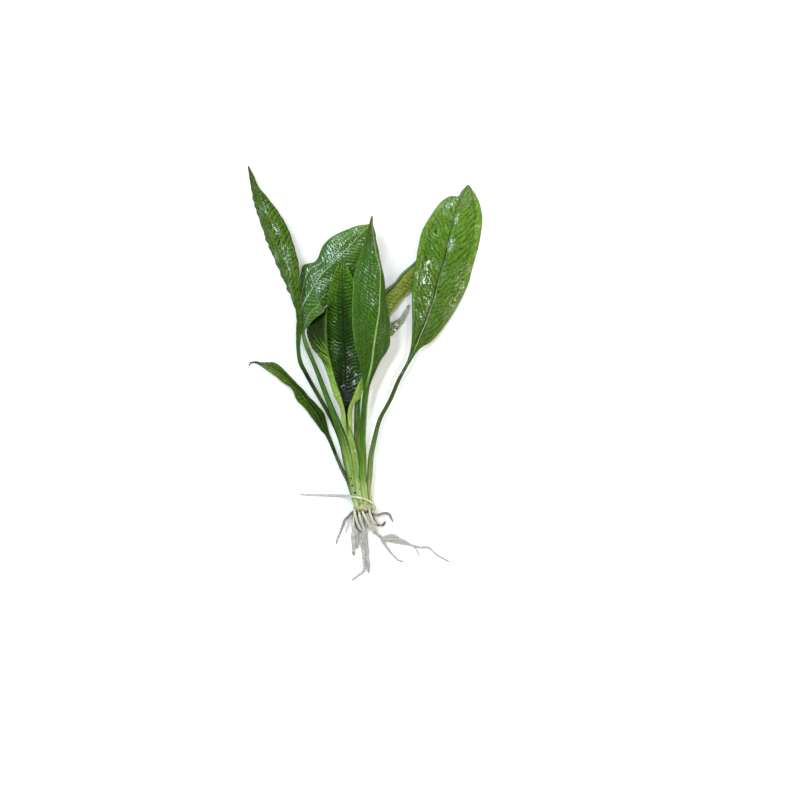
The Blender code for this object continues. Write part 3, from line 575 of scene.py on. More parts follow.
leaf_piece(
    "front_leaf", "leaf_front", FRONT_PETIOLE, FRONT_BLADE,
    PLAIN_LOOK | {
        "seed": 21, "vein_mm": 2.2, "slant": 0.8, "quilt": 0.11, "groove": 0.0, "rail": 0.25,
        "rib_above": 0.7, "rib_below": 0.3, "wave": 0.3, "dents": 0.3,
        "wet": [(-0.25, 0.52, 1.7), (-0.2, 0.66, 1.0), (-0.3, 0.78, 1.0), (-0.12, 0.3, 1.6), (0.4, 0.36, 2.0),
                (-0.9, 0.58, 1.0), (0.5, 0.22, 1.8)],
    },
    leaf_material(
        "wet_leaf_front",
        [(-0.54, "8aa050"), (-0.51, "7a9440"), (-0.46, "628630"), (-0.4, "587a26"), (-0.3, "4a7020"),
         (-0.15, "355c18"), (-0.02, "335c16"), (0.15, "305012"), (0.4, "3a5f18"), (0.75, "3c621a"),
         (0.9, "42561e"), (1.0, "5a5c30")],
        [(-0.5, "b4c47e"), (-0.2, "557a26"), (0.15, "365416"), (0.6, "3a5c1a"), (1.0, "4f6a30")],
        "142c06", "2a4610", "86a060", 0.3,
        # The two dark lines beside the bright keel are painted shade.
        [(-2.2, 1.0, "2a4610", 0.5, 0.3), (2.2, 1.0, "2a4610", 0.6, 0.4), (0.0, 1.7, "88a660", 1.0, 0.8)],
        inked=(0.7, 0.8), line=(0.06, 0.24), edge=0.7, mottle=0.5, film_mm=0.35, shine=0.32,
    ),
)


# ---- Centre leaf -----------------------------------------------------------------------------------------
# A young leaf that is still rolled: it shows its dark upper side inside a trough, crossed by a ladder of
# paler veins, and its yellow-green underside on the two margins that roll in over it.

CENTRE_PETIOLE = [
    (-2.4, -71.6, 8.4, 1.9, 1.5),
    (-3.4, -64.0, 9.0, 1.8, 1.5),
    (-4.2, -57.0, 9.0, 1.7, 1.4),
    (-5.3, -46.8, 9.0, 1.8, 1.4),
    (-7.6, -36.9, 9.0, 1.8, 1.5),
]
CENTRE_BLADE = [
    ((-10.2, -27.9, 12.4), (-9.6, -28.0, 9.0), (-9.1, -27.9, 12.4), (2.4, 0.2), (2.4, 0.2)),
    ((-10.9, -20.0, 14.0), (-9.9, -20.5, 9.0), (-9.2, -20.0, 14.0), (3.6, -0.4), (3.6, -0.4)),
    ((-12.8, -13.2, 15.0), (-10.2, -13.8, 9.0), (-6.8, -13.8, 15.0), (5.4, -0.8), (5.6, -0.8)),
    ((-16.0, -3.9, 15.4), (-10.5, -5.0, 9.0), (-3.6, -5.5, 15.4), (6.2, -1.2), (6.6, -1.4)),
    ((-18.5, 6.0, 15.6), (-10.8, 5.0, 9.0), (0.4, 3.8, 14.6), (8.4, -1.8), (7.0, -1.8)),
    ((-20.2, 14.6, 15.4), (-11.3, 14.9, 9.0), (1.6, 13.8, 14.6), (13.0, -3.4), (7.8, -2.0)),
    ((-20.6, 23.7, 15.0), (-11.7, 23.7, 9.6), (2.0, 23.0, 14.6), (15.4, -4.0), (7.4, -1.8)),
    ((-20.6, 32.8, 15.8), (-12.1, 33.0, 11.6), (1.6, 32.4, 15.0), (9.0, -5.0), (5.0, -1.0)),
    ((-20.4, 37.2, 16.4), (-12.2, 37.4, 12.7), (0.2, 36.6, 15.8), (1.5, -1.6), (3.3, -1.0)),
    ((-20.0, 41.8, 16.8), (-12.3, 41.8, 13.6), (-1.6, 40.6, 16.4), (1.0, -0.8), (2.0, -1.0)),
    ((-18.4, 49.0, 17.0), (-12.4, 49.0, 14.6), (-5.0, 48.4, 16.8), (0, -0.6), (0, -0.6)),
    ((-16.0, 56.1, 16.6), (-12.4, 56.1, 15.4), (-8.3, 55.8, 16.6), (0, -0.3), (0, -0.3)),
    ((-12.7, 62.2, 16.0), (-12.1, 62.7, 15.8), (-11.5, 62.2, 16.0), 0, 0),
]
leaf_piece(
    "centre_leaf", "leaf_centre", CENTRE_PETIOLE, CENTRE_BLADE,
    PLAIN_LOOK | {
        "seed": 31, "ring": 200, "row_mm": 0.3, "slant": 0.5, "vein_mm": 2.1, "quilt": 0.14, "wave": 0.2,
        "dents": 0.12, "lateral_at": (0.5,), "groove": 0.1, "rail": 0.0, "crinkle": 0.02,
        "wet": [(0.1, 0.33, 0.9), (0.3, 0.24, 1.3), (0.35, 0.3, 0.8), (-0.12, 0.22, 0.8), (0.15, 0.42, 0.8)],
    },
    leaf_material(
        "wet_leaf_centre",
        # The upper side is dark partly by its own colour and partly as painted shade inside the trough.
        [(-0.4, "9aaa64"), (-0.3, "7e9a48"), (-0.1, "84a04e"), (0.03, "769640"), (0.06, "1c3a0c"),
         (0.3, "284c10"), (0.55, "305a14"), (0.8, "42701a"), (0.93, "568418"), (1.0, "68921e")],
        # The underside turns nearly black past the middle of the blade: painted shade under the broad leaf's
        # curled edge.
        [(-0.4, "a8b676"), (-0.1, "96b060"), (0.1, "90ac50"), (0.25, "80a03c"), (0.36, "688c2a"),
         (0.46, "2a4010"), (0.54, "16260a"), (0.8, "142408"), (1.0, "466a20")],
        "0a1605", "2a3c12", "7c9a44", 0.5,
        # The broad dark band along the midrib is painted shade on the floor of the trough, deepest at the
        # base.
        [(0.0, 10.0, "0a1605", 0.95, 0.4), (0.0, 1.2, "0a1605", 0.8, 0.8)],
        inked=(0.9, 0.9), inked_below=0.3, line=(0.1, 0.28), lateral_at=(0.55,), lateral=0.3, edge=0.2,
        flecks=0.3, mottle=0.45, ragged=0.14,
    ),
)


# ---- Broad leaf at the back ------------------------------------------------------------------------------
# The broadest leaf, lying furthest back on its face: a pale keel runs slantwise over it. Its left half takes
# the cool light of a window as a bluish sheen, and its lower right margin curls up and over.

BROAD_PETIOLE = [
    (-3.8, -75.4, 9.4, 0.7, 0.6),
    (-4.2, -73.2, 9.7, 1.4, 1.1),
    (-4.9, -70.5, 9.0, 1.8, 1.4),
    (-6.1, -64.0, 7.8, 2.0, 1.4),
    (-7.4, -56.7, 7.7, 2.3, 1.3),
    (-9.2, -46.2, 7.6, 2.5, 1.2),
    (-13.0, -33.2, 7.5, 2.2, 1.2),
    (-17.8, -20.9, 7.5, 1.7, 1.2),
    (-22.7, -8.3, 7.4, 1.4, 1.2),
    (-28.3, 6.0, 7.2, 1.2, 1.1),
    (-32.0, 14.5, 7.0, 1.2, 1.0),
]
BROAD_BLADE = [
    ((-35.4, 24.6, 6.6), (-34.2, 23.6, 7.0), (-33.0, 22.8, 7.0), 0, 0),
    ((-36.9, 34.7, 5.6), (-34.4, 31.9, 7.4), (-30.9, 25.6, 11.0), 0, 0.3),
    ((-36.9, 42.4, 4.8), (-33.0, 38.5, 8.0), (-28.0, 28.9, 14.6), 0.4, 0),
    ((-36.3, 49.5, 4.2), (-29.7, 44.6, 8.8), (-22.0, 33.6, 17.4), 0.8, -1.0),
    ((-35.3, 54.2, 4.2), (-27.2, 48.6, 9.3), (-22.3, 36.2, 10.6), 0.9, 0.6),
    ((-34.1, 58.3, 4.4), (-24.8, 52.5, 9.8), (-17.0, 39.4, 8.4), 1.0, 0.8),
    ((-27.0, 61.6, 6.6), (-18.7, 58.9, 10.8), (-10.5, 44.5, 7.6), 0.6, 1.0),
    ((-23.1, 69.9, 7.8), (-12.7, 64.9, 11.4), (-3.9, 51.5, 8.0), 0.8, 1.0),
    ((-18.7, 74.0, 9.2), (-7.7, 69.9, 11.8), (1.1, 59.0, 8.8), 0.8, 0.8),
    ((-11.6, 77.8, 10.4), (-3.3, 74.8, 12.0), (5.0, 67.6, 9.8), 0.6, 0.4),
    ((-4.4, 80.6, 11.2), (0.5, 78.6, 11.8), (6.1, 74.8, 10.8), 0.2, 0.2),
    ((2.8, 81.6, 11.2), (3.8, 81.9, 11.4), (4.6, 81.0, 11.2), 0, 0),
]
leaf_piece(
    "broad_leaf", "leaf_broad_back", BROAD_PETIOLE, BROAD_BLADE,
    PLAIN_LOOK | {
        "seed": 41, "slant": 0.65, "vein_mm": 1.9, "quilt": 0.14, "groove": 0.0, "rail": 0.15,
        "rib_above": 0.8, "rib_below": 0.5, "wave": 0.4, "lateral_at": (0.62,),
        "wet": [(-0.45, 0.63, 6.5), (-0.6, 0.4, 8.0), (-0.4, 0.9, 1.5), (0.3, 0.86, 1.5), (0.95, 0.34, 3.0),
                (0.3, 0.4, 1.5), (-0.5, 0.2, 5.0)],
    },
    leaf_material(
        "wet_leaf_broad",
        [(-1.0, "728e3c"), (-0.85, "42601a"), (-0.6, "42661c"), (-0.3, "385c18"), (-0.05, "547c30"),
         (0.08, "345a1c"), (0.4, "34591a"), (0.7, "3a6019"), (0.9, "4e721d"), (1.0, "6a8430")],
        [(-1.0, "90a850"), (-0.3, "4f7a22"), (0.1, "4d7030"), (0.6, "547a38"), (1.0, "6a8840")],
        "90b468", "3c5c22", "6f8c34", 0.3,
        # The dark line beside the pale keel is the keel's painted shadow.
        [(2.2, 1.0, "264412", 0.8, 0.5), (0.0, 1.5, "8eac68", 1.0, 0.8)],
        inked=(0.12, 0.5), lateral_at=(0.62,), lateral=0.5, edge=0.5, gloss=0.18, film_mm=0.28,
        film_rough=0.15,
    ),
)


# ---- Far left leaf ---------------------------------------------------------------------------------------
# A long narrow leaf half turned on its side, so its left half is foreshortened to a strip beside the dark
# groove of the midrib. Its thin tip has curled and dried a little.

FAR_PETIOLE = [
    (-4.6, -71.6, 3.4, 1.6, 1.4),
    (-6.9, -65.0, 3.4, 1.3, 1.3),
    (-9.9, -53.3, 3.0, 1.2, 1.1),
    (-13.8, -36.3, 3.2, 1.1, 1.0),
    (-18.7, -24.7, 3.6, 1.1, 1.0),
    (-25.8, -12.1, 4.4, 1.1, 1.0),
    (-31.9, -1.1, 6.0, 1.1, 1.0),
    (-35.4, 6.0, 7.4, 1.2, 0.9),
]
FAR_BLADE = [
    ((-37.6, 13.0, 8.4), (-36.5, 12.7, 8.6), (-35.3, 12.6, 8.6), 0, 0),
    ((-37.8, 22.5, 9.6), (-36.3, 22.2, 10.0), (-34.8, 22.0, 10.0), 0, 0),
    ((-37.6, 31.0, 10.2), (-36.3, 30.3, 11.0), (-34.4, 30.8, 11.2), 0, 0),
    ((-39.4, 38.5, 8.4), (-37.7, 38.5, 11.0), (-35.2, 39.0, 11.6), 0.2, 0.2),
    ((-43.5, 48.7, 5.2), (-41.0, 48.4, 10.6), (-35.8, 49.0, 11.8), 0.6, 0.5),
    ((-48.1, 57.8, 2.6), (-44.6, 58.3, 10.0), (-36.2, 59.4, 11.2), 1.0, 0.8),
    ((-52.5, 68.2, 1.2), (-48.1, 68.2, 9.0), (-38.8, 69.3, 10.0), 1.2, 1.0),
    ((-55.8, 77.0, 0.8), (-51.7, 77.5, 8.0), (-42.1, 79.2, 8.6), 1.2, 1.0),
    ((-59.1, 86.3, 0.8), (-55.3, 86.9, 7.0), (-47.3, 88.3, 7.4), 1.0, 0.8),
    ((-61.3, 94.6, 1.4), (-58.0, 95.2, 6.0), (-53.3, 96.2, 6.2), 0.6, 0.4),
    ((-62.5, 101.8, 2.4), (-60.3, 102.3, 5.0), (-58.6, 102.8, 5.0), 0.2, 0.1),
    ((-63.6, 107.8, 3.2), (-62.2, 108.3, 4.0), (-61.0, 108.4, 4.0), 0, 0),
    ((-64.4, 113.2, 2.8), (-64.2, 113.9, 3.0), (-63.6, 113.4, 3.0), 0, 0),
]
leaf_piece(
    "far_leaf", "leaf_far_left", FAR_PETIOLE, FAR_BLADE,
    PLAIN_LOOK | {
        "seed": 51, "ring": 140, "slant": 0.9, "vein_mm": 3.0, "quilt": 0.2, "wave": 0.5, "wave_mm": 5,
        "groove": 0.2, "rail": 0.0,
        "wet": [(0.05, 0.76, 2.4), (0.35, 0.64, 1.8), (0.0, 0.62, 2.0), (0.25, 0.51, 3.2), (-0.3, 0.5, 1.8),
                (0.2, 0.41, 2.2), (-0.1, 0.33, 1.6), (-0.6, 0.28, 1.4)],
    },
    leaf_material(
        "wet_leaf_far",
        [(-0.8, "8fa65a"), (-0.6, "4a6628"), (-0.4, "25300f"), (-0.28, "37501c"), (-0.15, "1e260e"),
         (-0.05, "36541a"), (0.12, "426416"), (0.5, "456816"), (0.85, "4a6622"), (1.0, "54563a")],
        [(-0.8, "8fa65a"), (-0.3, "4a5a2c"), (0.0, "5c7834"), (0.5, "6a8a3c"), (1.0, "6c8050")],
        # The dark line along the margin is painted shade where the margin curls down.
        "102004", "4d6b2c", "2e2c18", 0.3, [(0.0, 1.2, "1c300a", 0.9, 0.6)],
        inked=(1.0, 1.0), line=(0.08, 0.26), edge=0.9, rim=0.91, mottle=0.6, gloss=0.04, film_mm=0.4,
    ),
)


# ---- Low left leaf ---------------------------------------------------------------------------------------
# A small old leaf folded into a trough along its midrib, dark and a little limp, with a dried brown-grey tip
# that has rolled up.

LOW_PETIOLE = [
    (-5.3, -71.6, 5.2, 1.2, 1.2),
    (-7.4, -65.4, 5.4, 1.1, 1.1),
    (-9.8, -58.3, 5.2, 1.1, 0.9),
    (-12.4, -53.3, 4.4, 1.0, 0.9),
    (-16.2, -44.5, 3.0, 1.0, 0.9),
    (-18.8, -38.0, 2.4, 1.1, 0.9),
]
LOW_BLADE = [
    ((-22.0, -34.2, 2.6), (-20.8, -33.0, 2.0), (-19.8, -32.2, 2.6), 0, 0),
    ((-24.8, -30.8, 4.6), (-23.1, -27.5, 1.8), (-21.8, -23.7, 5.0), -0.3, -0.3),
    ((-29.7, -24.2, 5.6), (-26.4, -21.2, 1.8), (-25.2, -18.7, 7.2), -0.5, -0.5),
    ((-34.1, -18.7, 6.2), (-30.8, -15.4, 1.8), (-29.2, -14.3, 8.4), -0.6, -0.6),
    ((-37.9, -13.8, 6.4), (-35.2, -9.9, 1.8), (-33.4, -9.4, 8.6), -0.6, -0.6),
    ((-39.4, -10.0, 6.2), (-37.0, -7.9, 1.8), (-35.2, -7.6, 8.4), -0.6, -0.6),
    ((-44.6, -5.8, 5.6), (-41.2, -3.6, 1.8), (-39.3, -3.4, 7.6), -0.5, -0.5),
    ((-49.0, -2.2, 4.6), (-46.2, 0.3, 1.6), (-45.0, 2.2, 6.0), -0.3, -0.3),
    ((-53.9, 1.1, 3.2), (-51.7, 3.6, 1.4), (-49.7, 6.0, 3.6), 0, 0),
    ((-57.4, 3.8, 1.8), (-57.0, 4.8, 1.4), (-56.4, 5.8, 2.0), 0, 0),
    ((-60.8, 5.3, 2.0), (-60.8, 5.9, 2.0), (-60.6, 6.5, 2.2), 0, 0),
    ((-62.9, 4.7, 2.2), (-63.2, 5.1, 2.2), (-63.4, 5.6, 2.4), 0, 0),
    ((-63.5, 3.7, 2.4), (-63.8, 3.9, 2.4), (-64.0, 4.2, 2.4), 0, 0),
]
leaf_piece(
    "low_leaf", "leaf_low_left", LOW_PETIOLE, LOW_BLADE,
    PLAIN_LOOK | {
        "seed": 61, "ring": 110, "vein_mm": 2.0, "wave": 0.3, "wave_mm": 9, "dents": 0.2, "groove": 0.0,
        "rail": 0.0, "wet": [(-0.5, 0.5, 2.5), (0.4, 0.35, 2.0), (-0.5, 0.75, 2.0)],
    },
    leaf_material(
        "wet_leaf_low",
        [(-0.9, "6f8a40"), (-0.6, "3a5220"), (-0.2, "2a3c16"), (0.0, "283e12"), (0.2, "345018"),
         (0.5, "4a661f"), (0.8, "5c7630"), (0.88, "76805a"), (0.93, "9c9c90"), (1.0, "aeaca6")],
        [(-0.9, "6f8a40"), (-0.2, "33441c"), (0.3, "3c5420"), (0.8, "4c6428"), (1.0, "6a6858")],
        "0e1c04", "2c4414", "b0c090", 0.5,
        [(0.0, 1.5, "0c1a04", 1.0, 0.9), (-4.0, 1.0, "14260a", 0.8, 0.5), (4.0, 1.0, "14260a", 0.8, 0.5)],
        inked=(0.85, 0.85), line=(0.06, 0.24), edge=0.7, mottle=0.65, left_half=(1.35, 1.25, 1.1),
    ),
)


# ---- Leaf at the right, behind ---------------------------------------------------------------------------
# An older leaf that is turning olive, mostly under its neighbours, with its upper half painted darker as
# shade.

BEHIND_PETIOLE = [
    (0.6, -71.4, 3.2, 1.9, 1.4),
    (-0.6, -62.0, 3.6, 1.8, 1.3),
    (-2.4, -54.0, 4.4, 1.8, 1.3),
    (-3.8, -46.8, 5.2, 1.7, 1.2),
    (-4.3, -31.0, 6.4, 1.7, 1.1),
    (-4.1, -19.0, 6.8, 1.6, 1.0),
    (-2.4, -5.0, 6.4, 1.2, 1.0),
    (-0.4, 7.0, 6.2, 1.1, 1.0),
]
BEHIND_BLADE = [
    ((1.3, 18.6, 5.8), (2.6, 17.6, 6.2), (3.9, 17.0, 5.8), 0, 0),
    ((3.3, 29.6, 3.4), (5.2, 27.8, 6.6), (9.2, 24.0, 4.6), 0.4, 0.4),
    ((6.6, 38.8, 1.6), (8.3, 37.2, 6.6), (13.4, 30.2, 3.8), 0.8, 0.8),
    ((10.3, 44.8, 1.0), (11.8, 43.2, 6.4), (17.6, 35.6, 3.4), 1.0, 1.0),
    ((15.8, 49.6, 1.0), (17.0, 48.2, 6.2), (22.2, 41.6, 3.2), 1.0, 1.0),
    ((19.9, 55.0, 1.0), (21.2, 53.6, 5.6), (26.9, 46.0, 2.6), 0.8, 0.8),
    ((24.6, 59.2, 1.2), (25.8, 58.0, 4.8), (30.8, 51.4, 2.0), 0.6, 0.6),
    ((29.6, 63.4, 1.4), (30.5, 62.0, 3.8), (34.6, 57.4, 1.6), 0.3, 0.3),
    ((35.6, 64.6, 2.0), (36.3, 64.4, 2.2), (36.6, 63.6, 2.0), 0, 0),
]
leaf_piece(
    "behind_leaf", "leaf_right_behind", BEHIND_PETIOLE, BEHIND_BLADE,
    PLAIN_LOOK | {
        "seed": 71, "ring": 120, "vein_mm": 2.0, "slant": 0.6, "groove": 0.2,
        "wet": [(0.95, 0.52, 1.0), (0.95, 0.7, 1.0), (0.4, 0.75, 1.2), (-0.6, 0.6, 1.5)],
    },
    leaf_material(
        "wet_leaf_olive",
        [(-1.0, "66803a"), (-0.8, "4c6a26"), (-0.4, "46682a"), (0.0, "5c702a"), (0.3, "76883a"),
         (0.7, "87953f"), (1.0, "849248")],
        [(-0.9, "a8b878"), (0.0, "4a6420"), (0.5, "75823c"), (1.0, "7c8848")],
        "3e4a14", "55602a", "bcc488", 0.5, [(0.0, 1.2, "20300c", 1.0, 0.9)], inked=(0.8, 0.8), edge=0.7,
        # left_half paints the upper half darker as shade.
        rim=0.87, mottle=0.55, flecks=1.0, left_half=(0.52, 0.78, 0.95),
    ),
)


# ---- Small withered leaf ---------------------------------------------------------------------------------
# The smallest leaf, low behind the front one: withered, blotched olive and white, its tip thin and greyish.

WITHERED_PETIOLE = [
    (-1.0, -72.0, 4.2, 1.6, 1.4),
    (-3.0, -63.0, 2.4, 1.0, 0.9),
    (-2.6, -54.0, 1.4, 0.8, 0.8),
    (-0.8, -44.0, 1.2, 0.8, 0.8),
    (-0.2, -30.0, 1.2, 0.8, 0.8),
    (1.2, -12.0, 1.2, 0.8, 0.8),
    (3.8, 2.0, 1.3, 0.8, 0.8),
    (7.4, 13.0, 1.4, 0.8, 0.7),
]
WITHERED_BLADE = [
    ((9.9, 22.6, 1.8), (10.5, 21.2, 1.8), (11.5, 20.2, 1.6), 0, 0),
    ((13.5, 26.8, 2.0), (14.3, 23.7, 1.6), (14.9, 20.3, 1.2), -0.2, 0.2),
    ((16.5, 28.7, 2.2), (17.3, 26.4, 1.6), (18.0, 24.0, 1.0), -0.2, 0.2),
    ((19.4, 30.9, 2.0), (20.2, 29.2, 1.5), (21.2, 27.4, 1.0), 0, 0),
    ((21.0, 33.3, 1.8), (22.1, 32.5, 1.5), (23.1, 31.9, 1.4), 0, 0),
    ((23.7, 37.4, 2.2), (24.2, 37.6, 2.2), (24.7, 37.3, 2.2), 0, 0),
]
leaf_piece(
    "withered_leaf", "leaf_small_withered", WITHERED_PETIOLE, WITHERED_BLADE,
    PLAIN_LOOK | {
        "seed": 81, "ring": 90, "row_mm": 0.3, "vein_mm": 1.8, "dents": 0.3, "wave": 0.4, "wave_mm": 6,
        "crinkle": 0.08, "groove": 0.05, "rail": 0.0, "wet": [(0.3, 0.3, 2.0)],
    },
    leaf_material(
        "wet_leaf_withered",
        [(-1.0, "8f9a60"), (-0.2, "5c7030"), (0.0, "72863c"), (0.3, "9cab70"), (0.5, "c0c4a4"),
         (0.65, "dcdcd4"), (1.0, "ecece8")],
        [(-1.0, "8f9a60"), (0.0, "5a6e2c"), (0.6, "7a8450"), (0.8, "a8aaa0"), (1.0, "b8b8b4")],
        "3a4618", "4c5828", "a0a880", 0.5, [(0.0, 1.0, "2c3a12", 1.0, 0.3)], inked=(0.8, 0.8), mottle=0.7,
    ),
)


# ---- Specks of algae -------------------------------------------------------------------------------------
# Dark brown spots, from dots to one oblong blotch, that grow flat on the pale lower ends of the petioles.
# They are a matt crust, so they stay dark where the wet petiole shines.

SPECKS = [
    ("broad_leaf", -7.5, -57.9, 0.4, 0.4), ("broad_leaf", -7.0, -61.8, 0.6, 0.5),
    ("broad_leaf", -5.3, -65.7, 1.0, 0.55), ("centre_leaf", -2.9, -57.1, 0.4, 0.35),
    ("front_leaf", -2.6, -58.4, 0.45, 0.4), ("centre_leaf", -2.9, -63.7, 0.35, 0.3),
]
SPECK_HALF_HEIGHT = 0.15
ALGAE_GRAIN_MM = 0.4
ABOVE_THE_LEAVES = 100.0

bm = bmesh.new()
for leaf, x, y, half_length, half_width in SPECKS:
    surface = BVHTree.FromObject(bpy.data.objects[leaf], bpy.context.evaluated_depsgraph_get())
    spot, normal, _, _ = surface.ray_cast(Vector((x, y, ABOVE_THE_LEAVES)) * MM, (0.0, 0.0, -1.0))
    size = Matrix.Diagonal((half_length * MM, half_width * MM, SPECK_HALF_HEIGHT * MM, 1.0))
    turned = normal.to_track_quat("Z", "Y").to_matrix().to_4x4()
    bmesh.ops.create_icosphere(
        bm, subdivisions=2, radius=1.0, matrix=Matrix.Translation(spot) @ turned @ size
    )
algae, tree, shader, coords = new_material("dark_brown_algae")
grain = add_node(tree, "TexNoise", {"Vector": coords, "Scale": 1 / (ALGAE_GRAIN_MM * MM), "Detail": 2.0})
set_inputs(tree, shader, {
    "Base Color": add_node(tree, "ValToRGB", (grain,), stops=[(0.35, "0e0d05"), (0.65, "241f0d")]),
    "Roughness": 0.8,
    "Specular IOR Level": 0.1,
})
finished_piece("algae_specks", bm, algae)


# ---- Crown -----------------------------------------------------------------------------------------------
# The short knobbly stem between leaves and roots: pale living tissue with rings of old leaf scars, going dark
# brown towards the roots, partly its own colour and partly painted shade in the gaps between them. It is only
# damp, so it has a soft shine without glints.

CROWN_CENTRE = (-0.9, -74.3, 5.7)
CROWN_HALF = (5.5, 3.2, 5.3)
CROWN_BROWN_TO, CROWN_GREEN_FROM = -78 * MM, -71 * MM
CROWN_BLOTCH_MM = 1.6
CROWN_RELIEF_MM = 0.3
# The dark brown end is partly painted shade between the roots.
CROWN_COLOURS = [(0.1, "2c2117"), (0.3, "54452f"), (0.45, "9a8f68"), (0.6, "b9b68a"), (0.9, "a4b76c")]

bm = bmesh.new()
bmesh.ops.create_icosphere(bm, subdivisions=5, radius=1.0)
for vertex in bm.verts:
    x, y, z = vertex.co
    scars = 0.035 * math.sin(26 * y + 3 * x) + 0.05 * math.sin(9 * x + 4 * z) * math.sin(7 * z - 5 * y)
    knobs = 0.06 * math.sin(13 * x + 2) * math.sin(12 * z) * max(0.0, -y)
    size = 1 + scars + knobs
    vertex.co = [(c + co * half * size) * MM for c, co, half in zip(CROWN_CENTRE, (x, y, z), CROWN_HALF)]
bmesh.ops.recalc_face_normals(bm, faces=bm.faces)
crown_tissue, tree, shader, coords = new_material("damp_crown_tissue")
blotches = add_node(tree, "TexNoise", {"Vector": coords, "Scale": 1 / (CROWN_BLOTCH_MM * MM), "Detail": 3.0})
spread = add_node(tree, "MapRange", (blotches, 0.3, 0.7, -0.25, 0.25))
from_roots = add_node(tree, "SeparateXYZ", (coords,), 1)
from_roots = add_node(tree, "MapRange", (from_roots, CROWN_BROWN_TO, CROWN_GREEN_FROM))
from_roots = add_node(tree, "Math", (from_roots, spread), operation="ADD")
knobbly = {"Strength": 1.0, "Distance": CROWN_RELIEF_MM * MM, "Height": blotches}
set_inputs(tree, shader, {
    "Base Color": add_node(tree, "ValToRGB", (from_roots,), stops=CROWN_COLOURS),
    "Roughness": 0.4,
    "Normal": add_node(tree, "Bump", knobbly),
})
finished_piece("crown_stem", bm, crown_tissue, "crown")


# ---- Roots -----------------------------------------------------------------------------------------------
# Each root is one grown strand: cream-white and juicy near the crown, greyer and thinner further out, with
# uneven thickness. They lie loose on the table.

ROOT_RING = 14
ROOT_YOUNG_TO, ROOT_OLD_FROM = -75 * MM, -94 * MM
ROOT_SPOT_MM = 2.2
# The skin's own grain is too fine to show, so it is drawn this coarse.
ROOT_GRAIN_MM = 0.7
ROOT_RELIEF_MM = 0.12
# Painted shade on the roots' flanks and undersides near the crown.
ROOT_FLANK_SHADE = linear("4c4236")


def root_rings(points, seed, step=0.45, end_share=0.35, sway=0.07):
    """Rings round a smooth curve through points (x, y, z, radius), and where each ring's points are."""
    points = np.array(points, float)
    knots = lengths_along(points[:, :3])
    at = np.linspace(0, knots[-1], max(round(knots[-1] / step), 8) + 1)
    values = smooth_values(knots, points, at)
    middles, radii = values[:, :3], values[:, 3]
    draw = np.random.default_rng(seed)
    turns = at[:, None] / draw.uniform(2.0, 9.0, 6) + draw.uniform(0, 1, 6)
    radii = radii * (1.1 + 0.04 * np.sin(turns * math.tau).sum(axis=1))
    radii = radii * np.clip(end_share + (knots[-1] - at) / (3 * radii), end_share, 1)
    wander = np.sin(at[:, None, None] / draw.uniform(5, 12, (2, 4)) * math.tau + draw.uniform(0, 6, (2, 4)))
    middles[:, :2] += sway * wander.sum(axis=2) * np.clip(at / 6, 0, 1)[:, None]
    middles[:, 2] = np.maximum(middles[:, 2], radii + 0.05)
    ahead = np.gradient(middles, axis=0)
    ahead /= np.linalg.norm(ahead, axis=1, keepdims=True)
    sideways = np.cross((0.0, 0.0, 1.0), ahead)
    sideways /= np.linalg.norm(sideways, axis=1, keepdims=True)
    upwards = np.cross(ahead, sideways)
    angles = np.arange(ROOT_RING) / ROOT_RING * math.tau
    around = (
        sideways[:, None] * np.cos(angles)[None, :, None] + upwards[:, None] * np.sin(angles)[None, :, None]
    )
    uneven = 1 + 0.06 * np.sin(2 * angles + seed)[None, :, None] * np.sin(at / 3)[:, None, None]
    rings = middles[:, None] + around * uneven * radii[:, None, None]
    share = np.broadcast_to((at / knots[-1])[:, None], rings.shape[:2])
    along = np.broadcast_to(at[:, None], rings.shape[:2])
    height = np.broadcast_to(np.sin(angles), rings.shape[:2])
    return rings, {"place": np.stack([along, share, height], axis=2)}


def root_material(name, young, old, tip, tip_at=(0.8, 1.0)):
    """Wet root skin, which shines softly. It is young at the crown, turns old, and fades to tip over tip_at.

    Near the crown the flanks and undersides are painted dark brown as shade between the roots.
    """
    material, tree, shader, coords = new_material(name)
    place = add_node(tree, "Attribute", {}, 1, attribute_name="place")
    _, share, height = add_node(tree, "SeparateXYZ", (place,)).node.outputs
    spots = add_node(tree, "TexNoise", {"Vector": coords, "Scale": 1 / (ROOT_SPOT_MM * MM), "Detail": 4.0})
    jitter = add_node(tree, "MapRange", (spots, 0.3, 0.7, -0.2, 0.2))
    age = add_node(tree, "SeparateXYZ", (coords,), 1)
    age = add_node(tree, "MapRange", (age, ROOT_YOUNG_TO, ROOT_OLD_FROM))
    age = add_node(tree, "Math", (age, jitter), operation="ADD")
    skin = add_node(tree, "ValToRGB", (age,), stops=[(0.0, young), (0.8, old)])
    at_tip = add_node(tree, "MapRange", (share, *tip_at))
    # Painted shade: darker on the flanks and underneath, near the crown.
    crown_shade = add_node(tree, "MapRange", (age, 0.0, 0.7, 0.85, 0.0))
    shaded_flank = add_node(tree, "MapRange", (height, 0.75, 0.2))
    fine = add_node(tree, "TexNoise", {"Vector": coords, "Scale": 1 / (ROOT_GRAIN_MM * MM), "Detail": 2.0})
    lightness = add_node(tree, "MapRange", (fine, 0.3, 0.7, 0.72, 1.2))
    stains = [
        ((at_tip,), linear(tip), "MIX"), ((crown_shade, shaded_flank), ROOT_FLANK_SHADE, "MIX"), ((1.0,), lightness, "MULTIPLY"),
    ]
    uneven = {"Strength": 1.0, "Distance": ROOT_RELIEF_MM * MM, "Height": fine}
    set_inputs(tree, shader, {
        "Base Color": stained(tree, skin, stains),
        "Roughness": 0.45,
        "Normal": add_node(tree, "Bump", uneven),
        "Coat Weight": 0.6,
        "Coat Roughness": 0.1,
    })
    return material


